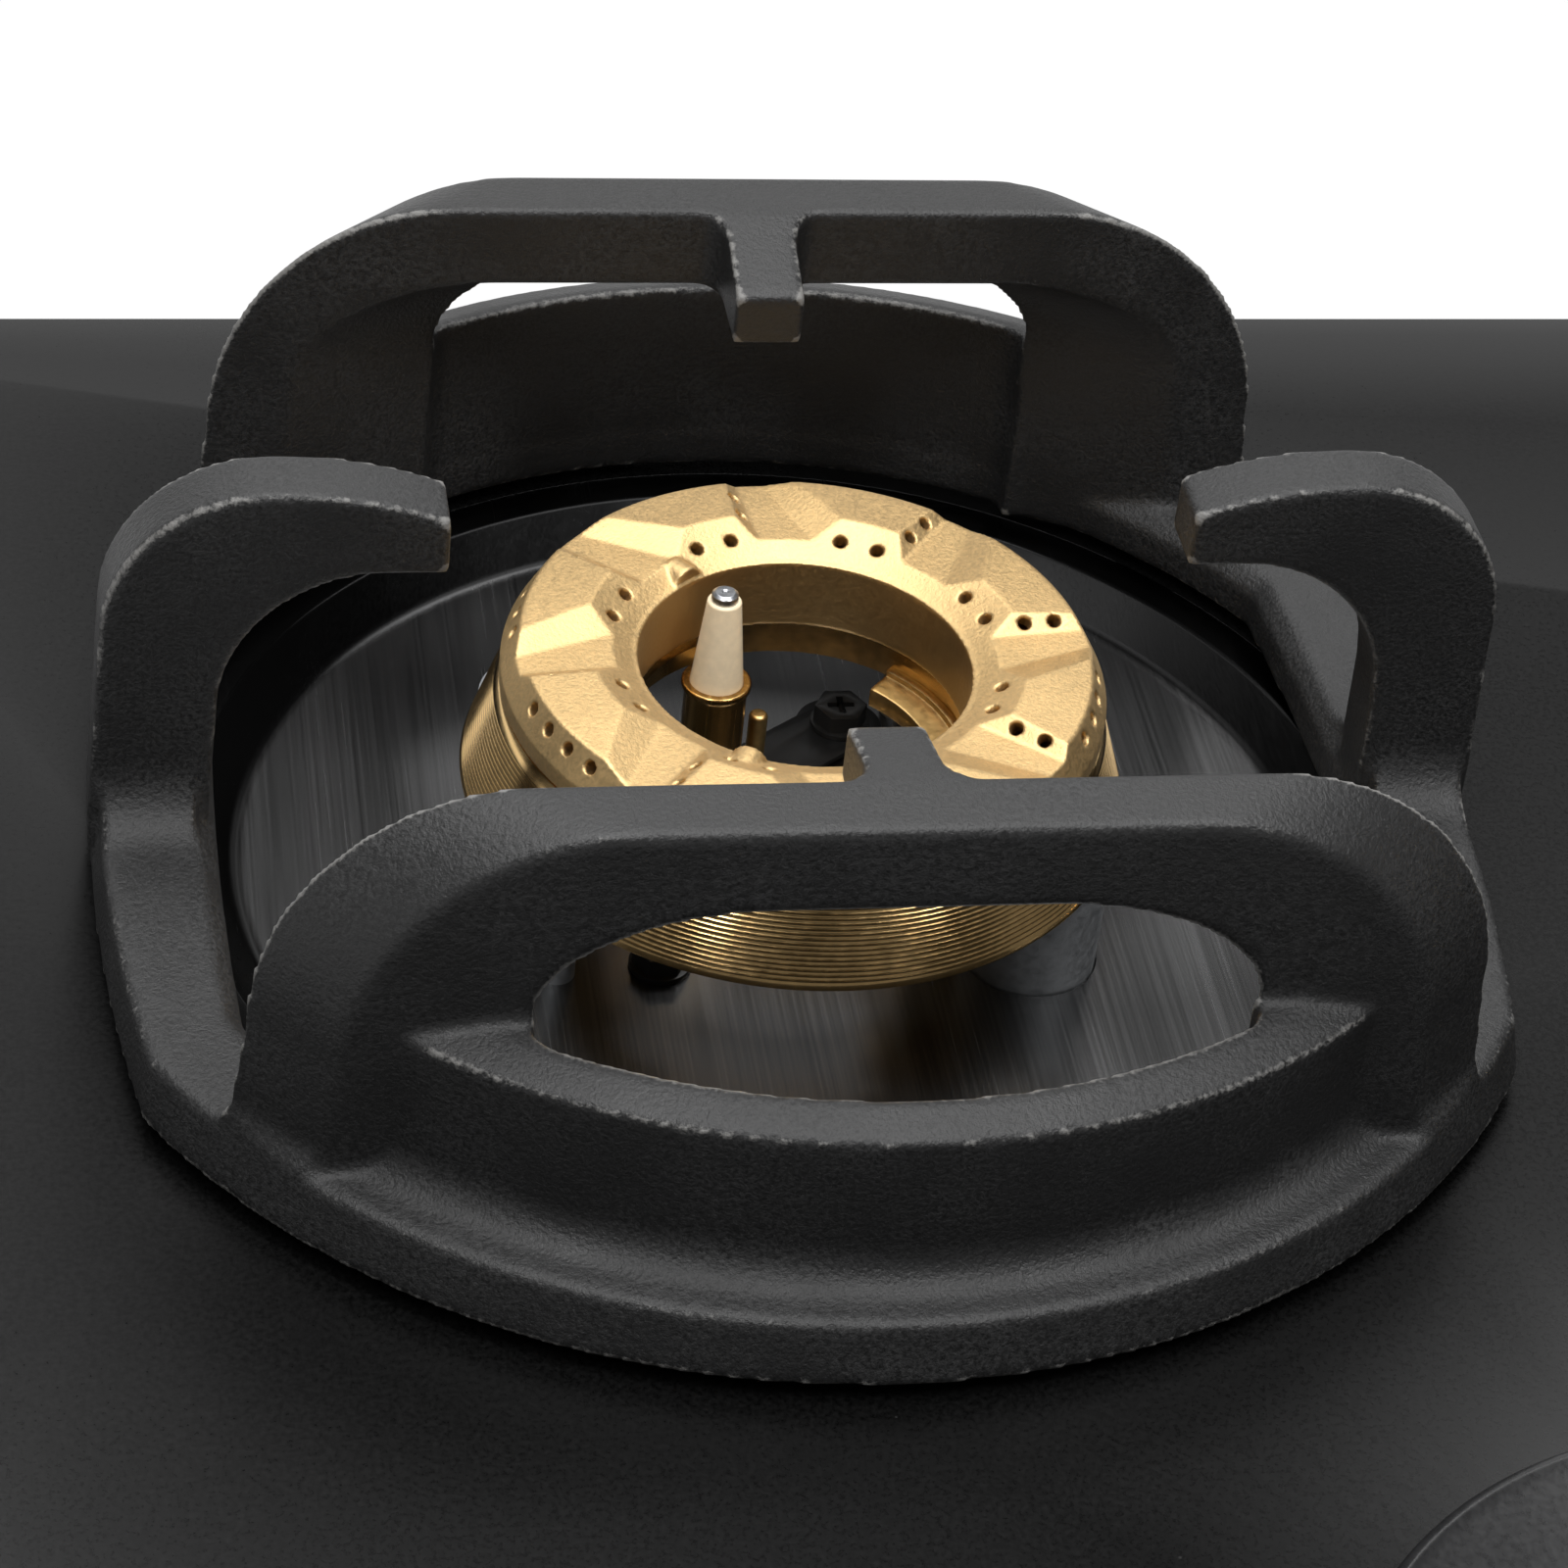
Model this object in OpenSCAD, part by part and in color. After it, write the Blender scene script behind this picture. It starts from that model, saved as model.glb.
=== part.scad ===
// Built-in gas hob: two brass ring burners in steel drip trays, cast pan supports, black glass.
// The origin is on the table under the middle of the glass. Z points up and the front is at -Y.

/* [Glass] */
// Width of the glass top
glass_w = 760; // [740:10:900]
// Depth of the glass top
glass_d = 450; // [440:5:520]
// Thickness of the glass
glass_t = 8; // [7:0.5:10]
// Radius of the glass corners
glass_corner_r = 12; // [6:1:24]
// Polished bevel round the upper edge
glass_bevel = 1.2; // [0.4:0.2:2]

/* [Layout] */
// Distance between the two burner centres
burner_pitch = 400; // [380:5:440]
// Burner centre to the back edge of the glass
burner_back = 160; // [150:2:176]
// Knob centre from its burner centre, towards the middle
knob_aside = 112; // [104:1:120]
// Knob centre in front of its burner centre
knob_ahead = 207; // [200:1:212]

/* [Pan support] */
// Outer radius of the base ring at its foot
ring_r = 125; // [122:0.5:130]
// How much its two sides are flattened
ring_flat = 12; // [9:0.5:14]
// Radius of the slight bow of those sides
ring_bow_r = 320; // [240:10:400]
// Width of the base ring
ring_w = 20; // [19:0.5:22]
// Radius of the bow of the hole's sides
bore_bow_r = 600; // [400:20:800]
// Thickness of the base ring
ring_t = 10; // [8:0.5:12]
// How far the ring's outer edge leans in over its thickness
ring_draft = 3; // [2:0.5:5]
// Bevel of the ring's upper inner edge
ring_bevel = 3; // [1:0.5:4]
// Height of the arches over the glass
arch_top = 73.5; // [70:0.5:80]
// How far an arch's outer face stands back from the ring's edge
arch_set = 37.3; // [35:0.1:40]
// Thickness of an arch
arch_t = 11.9; // [10:0.1:13]
// Height of the bar on top of an arch
arch_bar_h = 14.5; // [11:0.5:16]
// Half width of the outer face, shoulder to shoulder
shoulder_x = 79; // [76:0.5:80]
// Width of the shoulder's curve on the outer face
shoulder_w = 40; // [30:0.5:44]
// Height of the shoulder's curve
shoulder_h = 42; // [34:0.5:46]
// Slant of the shoulder's surface in plan, in degrees
shoulder_slant = 48; // [42:1:52]
// How much further out the leg's slanted side stands at its foot
shoulder_lean = 4; // [0.5:0.5:6]
// Fillet at the foot of that side
leg_fillet = 5; // [2:0.5:7]
// Half width of the window on the outer face
window_half = 51; // [46:0.5:53]
// How much wider each side of the window is on the inner face
window_splay = 26; // [20:0.5:28]
// Width of the curve in the window's upper corners
window_corner_w = 33; // [20:0.5:40]
// Height of the curve in the window's upper corners
window_corner_h = 18.5; // [10:0.5:19]
// How much further out each side of the window stands at its foot
window_lean = 3.5; // [1:0.5:5]
// Height of the window's sill over the glass
sill_z = 40.2; // [37:0.1:43]
// Fall of the sill towards its outer edge
sill_fall = 2; // [0.5:0.1:4]
// Level strip on top of the sill
sill_flat = 1.5; // [0.5:0.1:3]
// Thickness of the round wall below the sill
sill_wall_t = 7.5; // [6:0.5:9]
// Radius of the wall's inner corners
sill_corner_r = 6; // [3:0.5:9]
// Fillet between that wall and the base ring
sill_fillet = 6; // [3:0.5:7]
// Length of a front or back finger
finger_l = 18.5; // [14:0.1:21]
// Width of a finger
finger_w = 11.6; // [9:0.1:14]
// Thickness of a finger at its tip
finger_t = 9.3; // [8:0.1:11]
// Widening of a finger at its root, each side
finger_root_w = 4; // [2:0.5:6]
// Length of that widening
finger_root_l = 7; // [4:0.5:9]
// Reach of a side hook from the outer face of its leg
hook_l = 53; // [49:0.5:56]
// Width of a side hook
hook_w = 11.7; // [9:0.1:14]
// Height of a side hook over the glass
hook_top = 73; // [70:0.5:80]
// Height of its underside over the glass
hook_under = 58.3; // [56:0.1:60]
// How far its leg stands back from the ring's edge
hook_set = 2; // [1.5:0.5:4]
// Thickness of its leg below the bend
hook_t = 18; // [15:0.5:19]
// Radius of the bend's outer side
hook_bend_r = 26.5; // [20:0.5:30]
// Radius of the bend's inner side
hook_inner_r = 26; // [18:0.5:30]
// Radius of the crown of the arm
hook_crown_r = 70; // [60:1:90]
// Fillet at the foot of a side hook
hook_fillet = 10; // [6:0.5:14]

/* [Rubber pads] */
// Radius of a pad under the ring
pad_r = 6; // [4:0.5:7]
// Thickness of a pad
pad_t = 2.5; // [2:0.25:4]
// Radius of the pad's peg
pad_peg_r = 2.4; // [1.6:0.1:3]
// Length of the peg in the ring
pad_peg_l = 6; // [4:0.5:7]

/* [Burner cap] */
// Outer radius of the cap
cap_r = 48.5; // [46:0.5:50]
// Radius of the cap's bore
cap_bore_r = 26.7; // [25:0.1:27]
// Lower edge of the cap's outer rim over the glass
cap_rim_z = 31; // [30:0.5:32]
// Upper edge of the rim, where the outer bevel starts
cap_bevel_z = 34.5; // [33.5:0.1:35.5]
// Height of the outer bevel's upper edge
cap_edge_z = 39.8; // [39:0.1:40.2]
// Height of the cap's crown over the glass
cap_top = 40.4; // [39.8:0.1:41]
// Height of the inner rim over the glass
cap_inner_z = 36.3; // [35.5:0.1:37]
// Wall of the cap's roof
cap_wall = 3.6; // [3:0.1:4]
// Number of petals
petals = 8; // [6:1:10]
// Radius of a flame port
port_r = 1.1; // [0.8:0.05:1.3]
// Depth of the valleys between the petals
valley_depth = 2.2; // [1:0.1:2.6]
// Width of a valley's floor at the cap's edge
valley_w = 5; // [3:0.5:7]
// Slope of a valley's steep side, in degrees
valley_steep = 36; // [28:1:50]
// Slope of its gentle side, in degrees
valley_gentle = 20; // [14:1:26]

/* [Burner body] */
// Radius of the body's flared foot
body_foot_r = 54; // [52:0.1:55]
// Radius of the body's upper edge
body_top_r = 48.6; // [46:0.1:50]
// Underside of the body over the glass
body_z = 13.7; // [12:0.1:15]
// Upper edge of the outer wall over the glass
body_top = 30.7; // [29.5:0.1:30.8]
// Top of the inner wall, where the cap rests
body_seat = 24; // [22:0.5:26]
// Thickness of the outer wall
body_wall = 3; // [2.4:0.1:3.4]
// Bore of the inner wall below its lip
body_bore_r = 28.6; // [27.5:0.1:29]
// Outer radius of the inner wall
body_inner_r = 31.5; // [31:0.1:32]
// Floor of the gas channel above the underside
body_floor = 5.5; // [5:0.1:6.5]
// Number of turned grooves
grooves = 15; // [8:1:18]
// Depth of a groove
groove_depth = 0.35; // [0.2:0.05:0.5]

/* [Burner base] */
// Outer radius of the base casting
base_r = 54; // [53.5:0.5:58]
// Radius of its middle hole
base_bore_r = 26; // [25:0.5:28]
// Height of the base casting
base_h = 24; // [20:1:28]
// Radius of a gas riser
riser_r = 11; // [8:0.5:11.5]
// Distance of the risers from the burner centre
riser_circle_r = 44; // [42:0.5:44.5]
// Bore of a riser
riser_bore_r = 5; // [3:0.5:6]
// Radius of a support post
post_r = 3; // [2:0.5:3.5]
// Distance of the posts from the burner centre
post_circle_r = 48; // [46:0.5:49]
// Outer radius of the mixing tube
mixer_r = 11; // [10:0.5:12]
// Bore of the mixing tube
mixer_bore_r = 8.5; // [6:0.5:9]
// Mouth of the mixing tube in front of the burner centre
mixer_reach = 94; // [85:1:100]
// Air gap between the mouth and the injector's plate
air_gap = 18; // [12:1:24]
// Thickness of the injector's plate
holder_t = 6; // [4:0.5:8]

/* [Drip tray] */
// Radius of the tray's lip on the glass
tray_r = 104.5; // [104:0.5:104.8]
// Radius where the slope starts
tray_well_r = 98; // [94:0.5:99]
// Radius where the floor starts
tray_floor_r = 90; // [80:1:92]
// Depth of the floor below the glass
tray_depth = 5; // [3:0.5:6]
// Sheet thickness of the tray
tray_t = 1; // [0.6:0.1:1.4]

/* [Electrode] */
// Radius of the ceramic at its foot
ceramic_r = 4.4; // [3.5:0.1:4.6]
// Radius of the ceramic at its tip
ceramic_tip_r = 2.8; // [2.2:0.1:3.2]
// Top of the ceramic over the glass
ceramic_top = 36.7; // [32:0.1:38]
// Radius of the metal end
spark_r = 2.2; // [1.4:0.1:2.6]
// Height of the metal end
spark_h = 1.6; // [1:0.1:3]
// Wall of the brass sleeve
sleeve_wall = 0.8; // [0.5:0.1:1.2]
// Top of the sleeve over the glass
sleeve_top = 20.5; // [16:0.5:22]
// Radius of the thermocouple's tip
probe_r = 1.6; // [1.2:0.1:2]
// Top of the thermocouple over the glass
probe_top = 11; // [8:0.5:20]
// Thickness of the bracket that carries both
bracket_t = 1.2; // [0.8:0.1:1.6]

/* [Knob] */
// Radius of the knob at its foot
knob_r = 29; // [24:0.5:32]
// Radius of the knob at its top
knob_top_r = 26; // [22:0.5:28]
// Height of the knob
knob_h = 20; // [16:0.5:26]
// Travel of the knob when pressed
knob_push = 3.5; // [2:0.25:4]
// Radius of the round dish under the knob
bezel_r = 69; // [60:0.5:72]
// Width of the dish's raised rim
bezel_rim_w = 3.5; // [2:0.25:6]
// Height of the rim over the glass
bezel_rim_h = 2.2; // [1.6:0.1:3]
// Thickness of the dish's floor
bezel_t = 1.2; // [0.8:0.1:1.4]

/* [Gas tap] */
// Radius of the tap's barrel
tap_r = 14; // [12.5:0.5:15]
// Height of the tap's barrel
tap_h = 32; // [30:1:34]
// Radius of the turning plug
plug_r = 7; // [6:0.25:8]
// Height of the plug
plug_h = 24; // [22:0.5:26]
// Radius of the stem
stem_r = 4; // [3:0.1:4.5]
// Running clearance of the plug and the stem
run_fit = 0.05; // [0.02:0.01:0.08]
// Radius of the gas rail
rail_r = 8; // [7:0.25:9]
// Radius of a burner's gas pipe
pipe_r = 4; // [3:0.25:4.5]
// Bend radius of the gas pipes
pipe_bend_r = 16; // [12:1:20]

/* [Case] */
// Height of the rubber feet
foot_h = 6; // [5:0.5:10]
// Radius of the rubber feet
foot_r = 12; // [8:0.5:16]
// Height of the case under the glass
case_h = 66; // [64:0.5:76]
// Distance of the case's walls from the edge of the glass
case_inset = 25; // [24:0.5:28]
// Sheet thickness of the case
case_t = 1.2; // [0.8:0.1:1.6]
// Radius of the case's corners
case_corner_r = 10; // [6:0.5:16]
// Width of the flange under the glass
flange_w = 8; // [6:0.5:9]
// Width of the foam seal
seal_w = 10; // [6:0.5:11]
// Thickness of the foam seal
seal_t = 3; // [2:0.5:5]
// Radius of the gas inlet's thread
inlet_r = 10.48; // [8:0.01:12]
// Length of the thread outside the case
inlet_l = 21; // [16:0.5:22]

/* [Hidden] */
$fn = 96;
lap = 1;
gap = 0.3;
small_fn = 32;

// Levels and places
under_z = foot_h + case_h;
top_z = under_z + glass_t;
floor_z = foot_h + case_t;
knob_front = 80;
plate_d = max(glass_d, burner_back + knob_ahead + knob_front);
burner_y = plate_d / 2 - burner_back;
knob_x = burner_pitch / 2 - knob_aside;
knob_y = burner_y - knob_ahead;
case_w = glass_w - 2 * case_inset;
case_d = plate_d - 2 * case_inset;

// Pan support
ring_z = pad_t;
ring_top = ring_z + ring_t;
ring_side = ring_r - ring_flat;
ring_bore_r = ring_r - ring_w;
bore_side = ring_side - ring_w;
pad_circle_r = (ring_r + ring_bore_r) / 2;
leg_r = ring_r - ring_draft - gap;
arch_face = ring_r - arch_set;
arch_inner = arch_face - arch_t;
hook_back = ring_side - hook_set;
hook_inner = hook_back - hook_t;
hook_tip = hook_back - hook_l;
bar_z = arch_top - arch_bar_h;
wall_r = ring_bore_r + gap;
curve_steps = 14;

// Burner cap
cap_bevel_share = 0.55;
crown_share = 0.39;
cap_crown_r = cap_bore_r + (cap_r - cap_bore_r) * crown_share;
cap_edge_r = cap_r - (cap_edge_z - cap_bevel_z) * cap_bevel_share;
cap_lip_w = 1;
cap_lip_r = cap_bore_r + cap_lip_w;
cap_lip_h = 3;
cap_skirt_w = 1.7;
cap_inner_wall_r = body_inner_r + gap;
pitch_angle = 360 / petals;
valley_turn = 6.4;
valley_flare = 20;
outer_port_shares = [0.355, 0.505, 0.655, 0.805];
inner_port_shares = [0.328, 0.582];
slot_port_shares = [0.12, 0.6];
outer_port_share = 0.6;
nub_w = 6;
nub_l = 4;
nub_sink = 0.6;
nub_angles = [126, 243];

// Burner body
foot_edge = 0.6;
body_step = 3.3;
body_step_w = 3;
groove_first_share = 0.05;
groove_last_share = 0.88;

// Screws
screw_r = 2;
screw_l = 14;
head_flange_r = 5;
head_flange_t = 1;
head_r = 4.6;
head_h = 3.2;
cross_w = 1.1;
cross_l = 4.6;
cross_depth = 1.6;

// Places on the burner, seen from its centre
spot_r = 38;
screw_spot_shares = [[0.395, 0.921], [-0.618, -0.658]];
electrode_share = [-0.2842, 0.4316];
probe_share = [-0.0658, 0.5132];
screw_spots = spot_r * screw_spot_shares;
electrode_at = spot_r * electrode_share;
probe_at = spot_r * probe_share;
riser_angles = [-33, 150];
post_angles = [57, 213];
tray_under = tray_depth + tray_t;
base_z = -tray_under - base_h;
electrode_foot = 18;
probe_foot = 14;
electrode_hole_r = ceramic_r + sleeve_wall + gap;
sleeve_lip_h = 1.2;
sleeve_lip_w = 0.6;
collar_r = 2.6;
collar_h = 3;
bracket_w = 15;

// Gas parts
mix_drop = 40;
mix_z = top_z - mix_drop;
tap_z = mix_z - tap_h / 2 + gap;
tap_floor = 4;
holder_y = mixer_reach + air_gap + holder_t;
holder_arm_w = 4;
nozzle_r = 5;
nozzle_l = 12;
injector_hex_r = 7;
injector_hex_l = 8;
injector_tail_r = 6;
injector_tail_l = 8;
injector_y = burner_y - holder_y - injector_hex_l - injector_tail_l;
outlet_r = 7;
outlet_l = 9;
magnet_r = 8;
magnet_l = 22;
saddle_w = 26;
saddle_wall = 4;
rail_y = knob_y - tap_r - rail_r + lap;
rail_left = -knob_x - 3 * saddle_w / 2;
rail_side = 36;
rail_right = case_w / 2 - rail_side;
clip_w = 16;
clip_t = 2;
clip_foot = 14;
inlet_hex_r = 15;
inlet_hex_t = 10;
nut_t = 6;
bonnet_r = 13;
bonnet_t = 3;
knob_z = top_z + bezel_t + knob_push + gap;
stem_hole_r = stem_r + 4 * gap;
stem_grip = 14;
stem_engage = 9;
plug_z = tap_z + tap_floor + gap;
stem_z = plug_z + plug_h - stem_engage;
stem_flat = stem_r / 2;
knob_edge = 2.5;
knob_hollow = 1;
pointer_w = 1.6;
hub_wall = 3;

// Rails under the burners
support_w = 20;
support_gap = 40;
support_half = 56;
support_foot = 14;
support_t = 1.2;
foot_screw_r = 1.6;

// Ignition parts
module_w = 70;
module_l = 44;
module_h = 30;
module_back = 25;
module_y = case_d / 2 - module_back - module_l / 2;
module_rib_w = 2;
tower_r = 4;
tower_l = 6;
battery_r = 17.1;
battery_l = 59;
battery_nub_r = 4.5;
battery_nub_l = 1.5;
battery_y = -72;
box_wall = 1.6;
lid_t = 1.6;
lid_guide_w = 1.6;
lid_margin = 10;
lid_w = 2 * battery_r + lid_margin;
lid_l = battery_l + lid_margin;
ridge_w = 1;
wire_r = 1.4;
wire_bend_r = 6;
wire_rise = 9;
wire_z = floor_z + wire_rise;
switch_w = 12;
switch_l = 7;
switch_h = 14;

// Worktop clamps
clamp_y = 120;
clamp_w = 26;
clamp_t = 2;
clamp_rise = 26;
clamp_lift = 6;
clamp_z = foot_h + clamp_lift;
clamp_reach = 20;
clamp_screw_r = 2.5;
clamp_screw_l = 34;
clamp_pad_r = 5;

// Case
feet_inset = 40;
vent_w = 5;
vent_l = 46;
vent_pitch = 12;
vent_count = 7;

// Points of an arc or an ellipse's stretch, from angle a to angle b
function bend(centre, rx, ry, a, b, steps = curve_steps) =
  [for (i = [0:steps]) let (t = a + (b - a) * i / steps) centre + [rx * cos(t), ry * sin(t)]];

function mirrored(points) = [for (i = [len(points) - 1:-1:0]) [-points[i][0], points[i][1]]];

module at_burner(side) translate([side * burner_pitch / 2, burner_y, top_z]) children();
module at_knob(side) translate([side * knob_x, knob_y, 0]) children();

module rounded_slab(w, d, h, r) {
  linear_extrude(h) rounded_rect(w, d, r);
}

module rounded_rect(w, d, r) {
  square([w - 2 * r, d], center = true);
  square([w, d - 2 * r], center = true);
  for (x = [-1, 1], y = [-1, 1]) translate([x * (w / 2 - r), y * (d / 2 - r)]) circle(r);
}

// Outline in the XZ plane, drawn from the front and centred on Y
module side_extrude(width) {
  translate([0, width / 2, 0]) rotate([90, 0, 0]) linear_extrude(width) children();
}

// Outline in the YZ plane, centred on X
module cross_extrude(width) {
  translate([-width / 2, 0, 0]) rotate([90, 0, 90]) linear_extrude(width) children();
}

module hex(r, h) {
  cylinder(r = r, h = h, $fn = 6);
}

// Pipe through points joined by right angles, with quarter bends
module pipe_run(points, r, bend_r) {
  last = len(points) - 1;
  for (i = [0:last - 1]) {
    d = unit(points[i + 1] - points[i]);
    a = points[i] + (i == 0 ? 0 : bend_r) * d;
    b = points[i + 1] - (i == last - 1 ? 0 : bend_r) * d;
    placed(a, d) cylinder(r = r, h = norm(b - a), $fn = small_fn);
  }
  for (i = [1:last - 1]) {
    d0 = unit(points[i] - points[i - 1]);
    d1 = unit(points[i + 1] - points[i]);
    c = points[i] + bend_r * (d1 - d0);
    n = cross(-d1, d0);
    multmatrix([
      [-d1[0], d0[0], n[0], c[0]],
      [-d1[1], d0[1], n[1], c[1]],
      [-d1[2], d0[2], n[2], c[2]]
    ]) rotate_extrude(angle = 90) translate([bend_r, 0]) circle(r, $fn = small_fn);
  }
}

function unit(v) = v / norm(v);

// Moves a child from the origin to a point, with its Z axis along d
module placed(point, d) {
  turn = abs(d[2]) > 1 / 2 ? (d[2] > 0 ? [0, 0, 0] : [180, 0, 0])
    : (abs(d[0]) > 1 / 2 ? [0, 90 * sign(d[0]), 0] : [-90 * sign(d[1]), 0, 0]);
  translate(point) rotate(turn) children();
}

// Glass plate with its holes and bevelled edge
module glass_top() {
  color("#15161a") difference() {
    translate([0, 0, under_z]) bevelled_plate();
    for (side = [-1, 1]) {
      at_burner(side) translate([0, 0, -glass_t - lap])
        cylinder(r = tray_well_r + 5 * gap, h = glass_t + 2 * lap);
      at_knob(side) translate([0, 0, under_z - lap]) cylinder(r = bonnet_r + gap, h = glass_t + 2 * lap);
    }
  }
}

module bevelled_plate() {
  w = glass_w / 2;
  d = plate_d / 2;
  r = glass_corner_r;
  flat = glass_t - glass_bevel;
  side_extrude(plate_d - 2 * r) polygon(plate_profile(w, flat));
  cross_extrude(glass_w - 2 * r) polygon(plate_profile(d, flat));
  for (x = [-1, 1], y = [-1, 1]) translate([x * (w - r), y * (d - r), 0]) {
    cylinder(r = r, h = flat);
    translate([0, 0, flat]) cylinder(r1 = r, r2 = r - glass_bevel, h = glass_bevel);
  }
}

function plate_profile(half, flat) = [
  [-half, 0], [half, 0], [half, flat], [half - glass_bevel, glass_t],
  [-half + glass_bevel, glass_t], [-half, flat]
];

module glass_seal() {
  w = case_w + 2 * flange_w + 2 * gap;
  d = case_d + 2 * flange_w + 2 * gap;
  room = case_inset - flange_w - gap;
  strip = min(seal_w, room - 2 * gap);
  color("#2b2b2b") translate([0, 0, under_z - seal_t]) linear_extrude(seal_t) difference() {
    rounded_rect(w + 2 * strip, d + 2 * strip, glass_corner_r);
    rounded_rect(w, d, case_corner_r);
  }
}

// Flattened base ring of the pan support
module ring_outline(grow, h, lean) {
  intersection() {
    cylinder(r1 = ring_r + grow, r2 = ring_r + grow - lean, h = h);
    for_bow(1, grow, h, lean);
    for_bow(-1, grow, h, lean);
  }
}

module for_bow(side, grow, h, lean) {
  translate([side * (ring_side - ring_bow_r), 0, 0])
    cylinder(r1 = ring_bow_r + grow, r2 = ring_bow_r + grow - lean * 2 / 3, h = h, $fn = 4 * $fn);
}

module bore_outline(h, wider) {
  intersection() {
    cylinder(r1 = ring_bore_r, r2 = ring_bore_r + wider, h = h);
    for_bore_bow(1, h, wider);
    for_bore_bow(-1, h, wider);
  }
}

module for_bore_bow(side, h, wider) {
  translate([side * (bore_side - bore_bow_r), 0, 0])
    cylinder(r1 = bore_bow_r, r2 = bore_bow_r + wider, h = h, $fn = 6 * $fn);
}

module base_ring() {
  difference() {
    translate([0, 0, ring_z]) ring_outline(0, ring_t, ring_draft);
    translate([0, 0, ring_z - lap]) bore_outline(ring_t + 2 * lap, 0);
    translate([0, 0, ring_top - ring_bevel]) bore_outline(ring_bevel + lap, ring_bevel + lap);
  }
}

// Prism whose outline runs up in Z and lies slanted in plan
module slanted_prism(side, angle, points) {
  span = 2 * ring_r;
  rotate([0, 0, side > 0 ? angle : 180 - angle]) side_extrude(span) polygon(points);
}

function along(x, y, angle) = x * cos(angle) + y * sin(angle);

module shoulder(side) {
  s = along(shoulder_x, arch_face, shoulder_slant);
  w = shoulder_w * cos(shoulder_slant);
  curve_z = arch_top - shoulder_h;
  foot = s + shoulder_lean * cos(shoulder_slant) * (1 - (ring_top + leg_fillet) / curve_z);
  slanted_prism(side, shoulder_slant, concat(
    [[-ring_r, 0], [foot + leg_fillet, 0]],
    bend([foot + leg_fillet, ring_top + leg_fillet], leg_fillet, leg_fillet, 270, 180),
    bend([s - w, curve_z], w, shoulder_h, 0, 90),
    [[-ring_r, arch_top]]
  ));
}

module window_side(side) {
  angle = atan2(window_splay, arch_t);
  s = along(window_half, arch_face, angle);
  w = window_corner_w * cos(angle);
  slanted_prism(side, angle, concat(
    [[-ring_r, 0], [s + window_lean * cos(angle), 0]],
    bend([s - w, bar_z - window_corner_h], w, window_corner_h, 0, 90),
    [[-ring_r, bar_z]]
  ));
}

module arch() {
  difference() {
    intersection() {
      translate([-ring_r, arch_inner, ring_z]) cube([2 * ring_r, arch_t, arch_top - ring_z]);
      translate([0, 0, ring_z]) cylinder(r = leg_r, h = arch_top);
      shoulder(1);
      shoulder(-1);
    }
    intersection() {
      window_side(1);
      window_side(-1);
    }
  }
  sill_wall();
  finger();
}

// Round wall below the sill, with a well inside it that runs down to the ring's hole
module sill_wall() {
  outer = wall_r + sill_wall_t;
  fillet_r = min(sill_fillet, leg_r - outer - gap);
  difference() {
    intersection() {
      rotate_extrude() polygon(concat(
        [[0, ring_z], [outer + fillet_r, ring_z]],
        bend([outer + fillet_r, ring_top + fillet_r], fillet_r, fillet_r, 270, 180),
        [[outer, sill_z - sill_fall], [wall_r + sill_flat, sill_z], [0, sill_z]]
      ));
      translate([-shoulder_x, arch_face - lap, 0]) cube([2 * shoulder_x, ring_r, arch_top]);
    }
    linear_extrude(arch_top) polygon(well_outline());
  }
}

function well_outline() =
  let (half = window_half + window_lean / 2, c = sill_corner_r)
  let (turn = acos((half - c) / (wall_r - c)), at = (wall_r - c) * [cos(turn), sin(turn)])
  concat(
    [[half, 0]], bend(at, c, c, 0, turn, 6), bend([0, 0], wall_r, wall_r, turn, 180 - turn),
    bend([-at[0], at[1]], c, c, 180 - turn, 180, 6), [[-half, 0]]
  );

module finger() {
  half = finger_w / 2;
  root = arch_inner;
  finger_tip = root - finger_l;
  edge = concat(
    [[half, finger_tip]],
    bend([half + finger_root_w, root - finger_root_l], finger_root_w, finger_root_l, 180, 90),
    [[half + finger_root_w, root + lap]]
  );
  intersection() {
    translate([0, 0, bar_z]) linear_extrude(arch_bar_h) polygon(concat(edge, mirrored(edge)));
    cross_extrude(2 * ring_r) polygon([
      [finger_tip, bar_z], [root + lap, bar_z], [root + lap, arch_top],
      [root, arch_top], [finger_tip, bar_z + finger_t]
    ]);
  }
}

module side_hook() {
  bend_at = [hook_back - hook_bend_r, hook_top - hook_bend_r];
  crown = [bend_at[0], hook_top - hook_crown_r];
  tip_angle = acos((hook_tip - crown[0]) / hook_crown_r);
  inner_at = [hook_inner - hook_inner_r, hook_under - hook_inner_r];
  side_extrude(hook_w) polygon(concat(
    [[bore_side + lap, ring_z], [ring_side, ring_z], [ring_side, ring_top]],
    bend(bend_at, hook_bend_r, hook_bend_r, 0, 90),
    bend(crown, hook_crown_r, hook_crown_r, 90, tip_angle),
    [[hook_tip, hook_under]],
    bend(inner_at, hook_inner_r, hook_inner_r, 90, 0),
    [[bore_side + lap, ring_top]]
  ));
  hook_foot();
}

module hook_foot() {
  half = hook_w / 2;
  edge = concat(
    [[half, ring_top + hook_fillet]],
    bend([half + hook_fillet, ring_top + hook_fillet], hook_fillet, hook_fillet, 180, 270),
    [[half + hook_fillet, ring_top - ring_bevel]]
  );
  intersection() {
    cross_extrude(2 * ring_r) polygon(concat(mirrored(edge), edge));
    translate([bore_side + ring_bevel, -half - hook_fillet, 0])
      cube([hook_back - bore_side - ring_bevel, hook_w + 2 * hook_fillet, hook_top]);
  }
}

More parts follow.
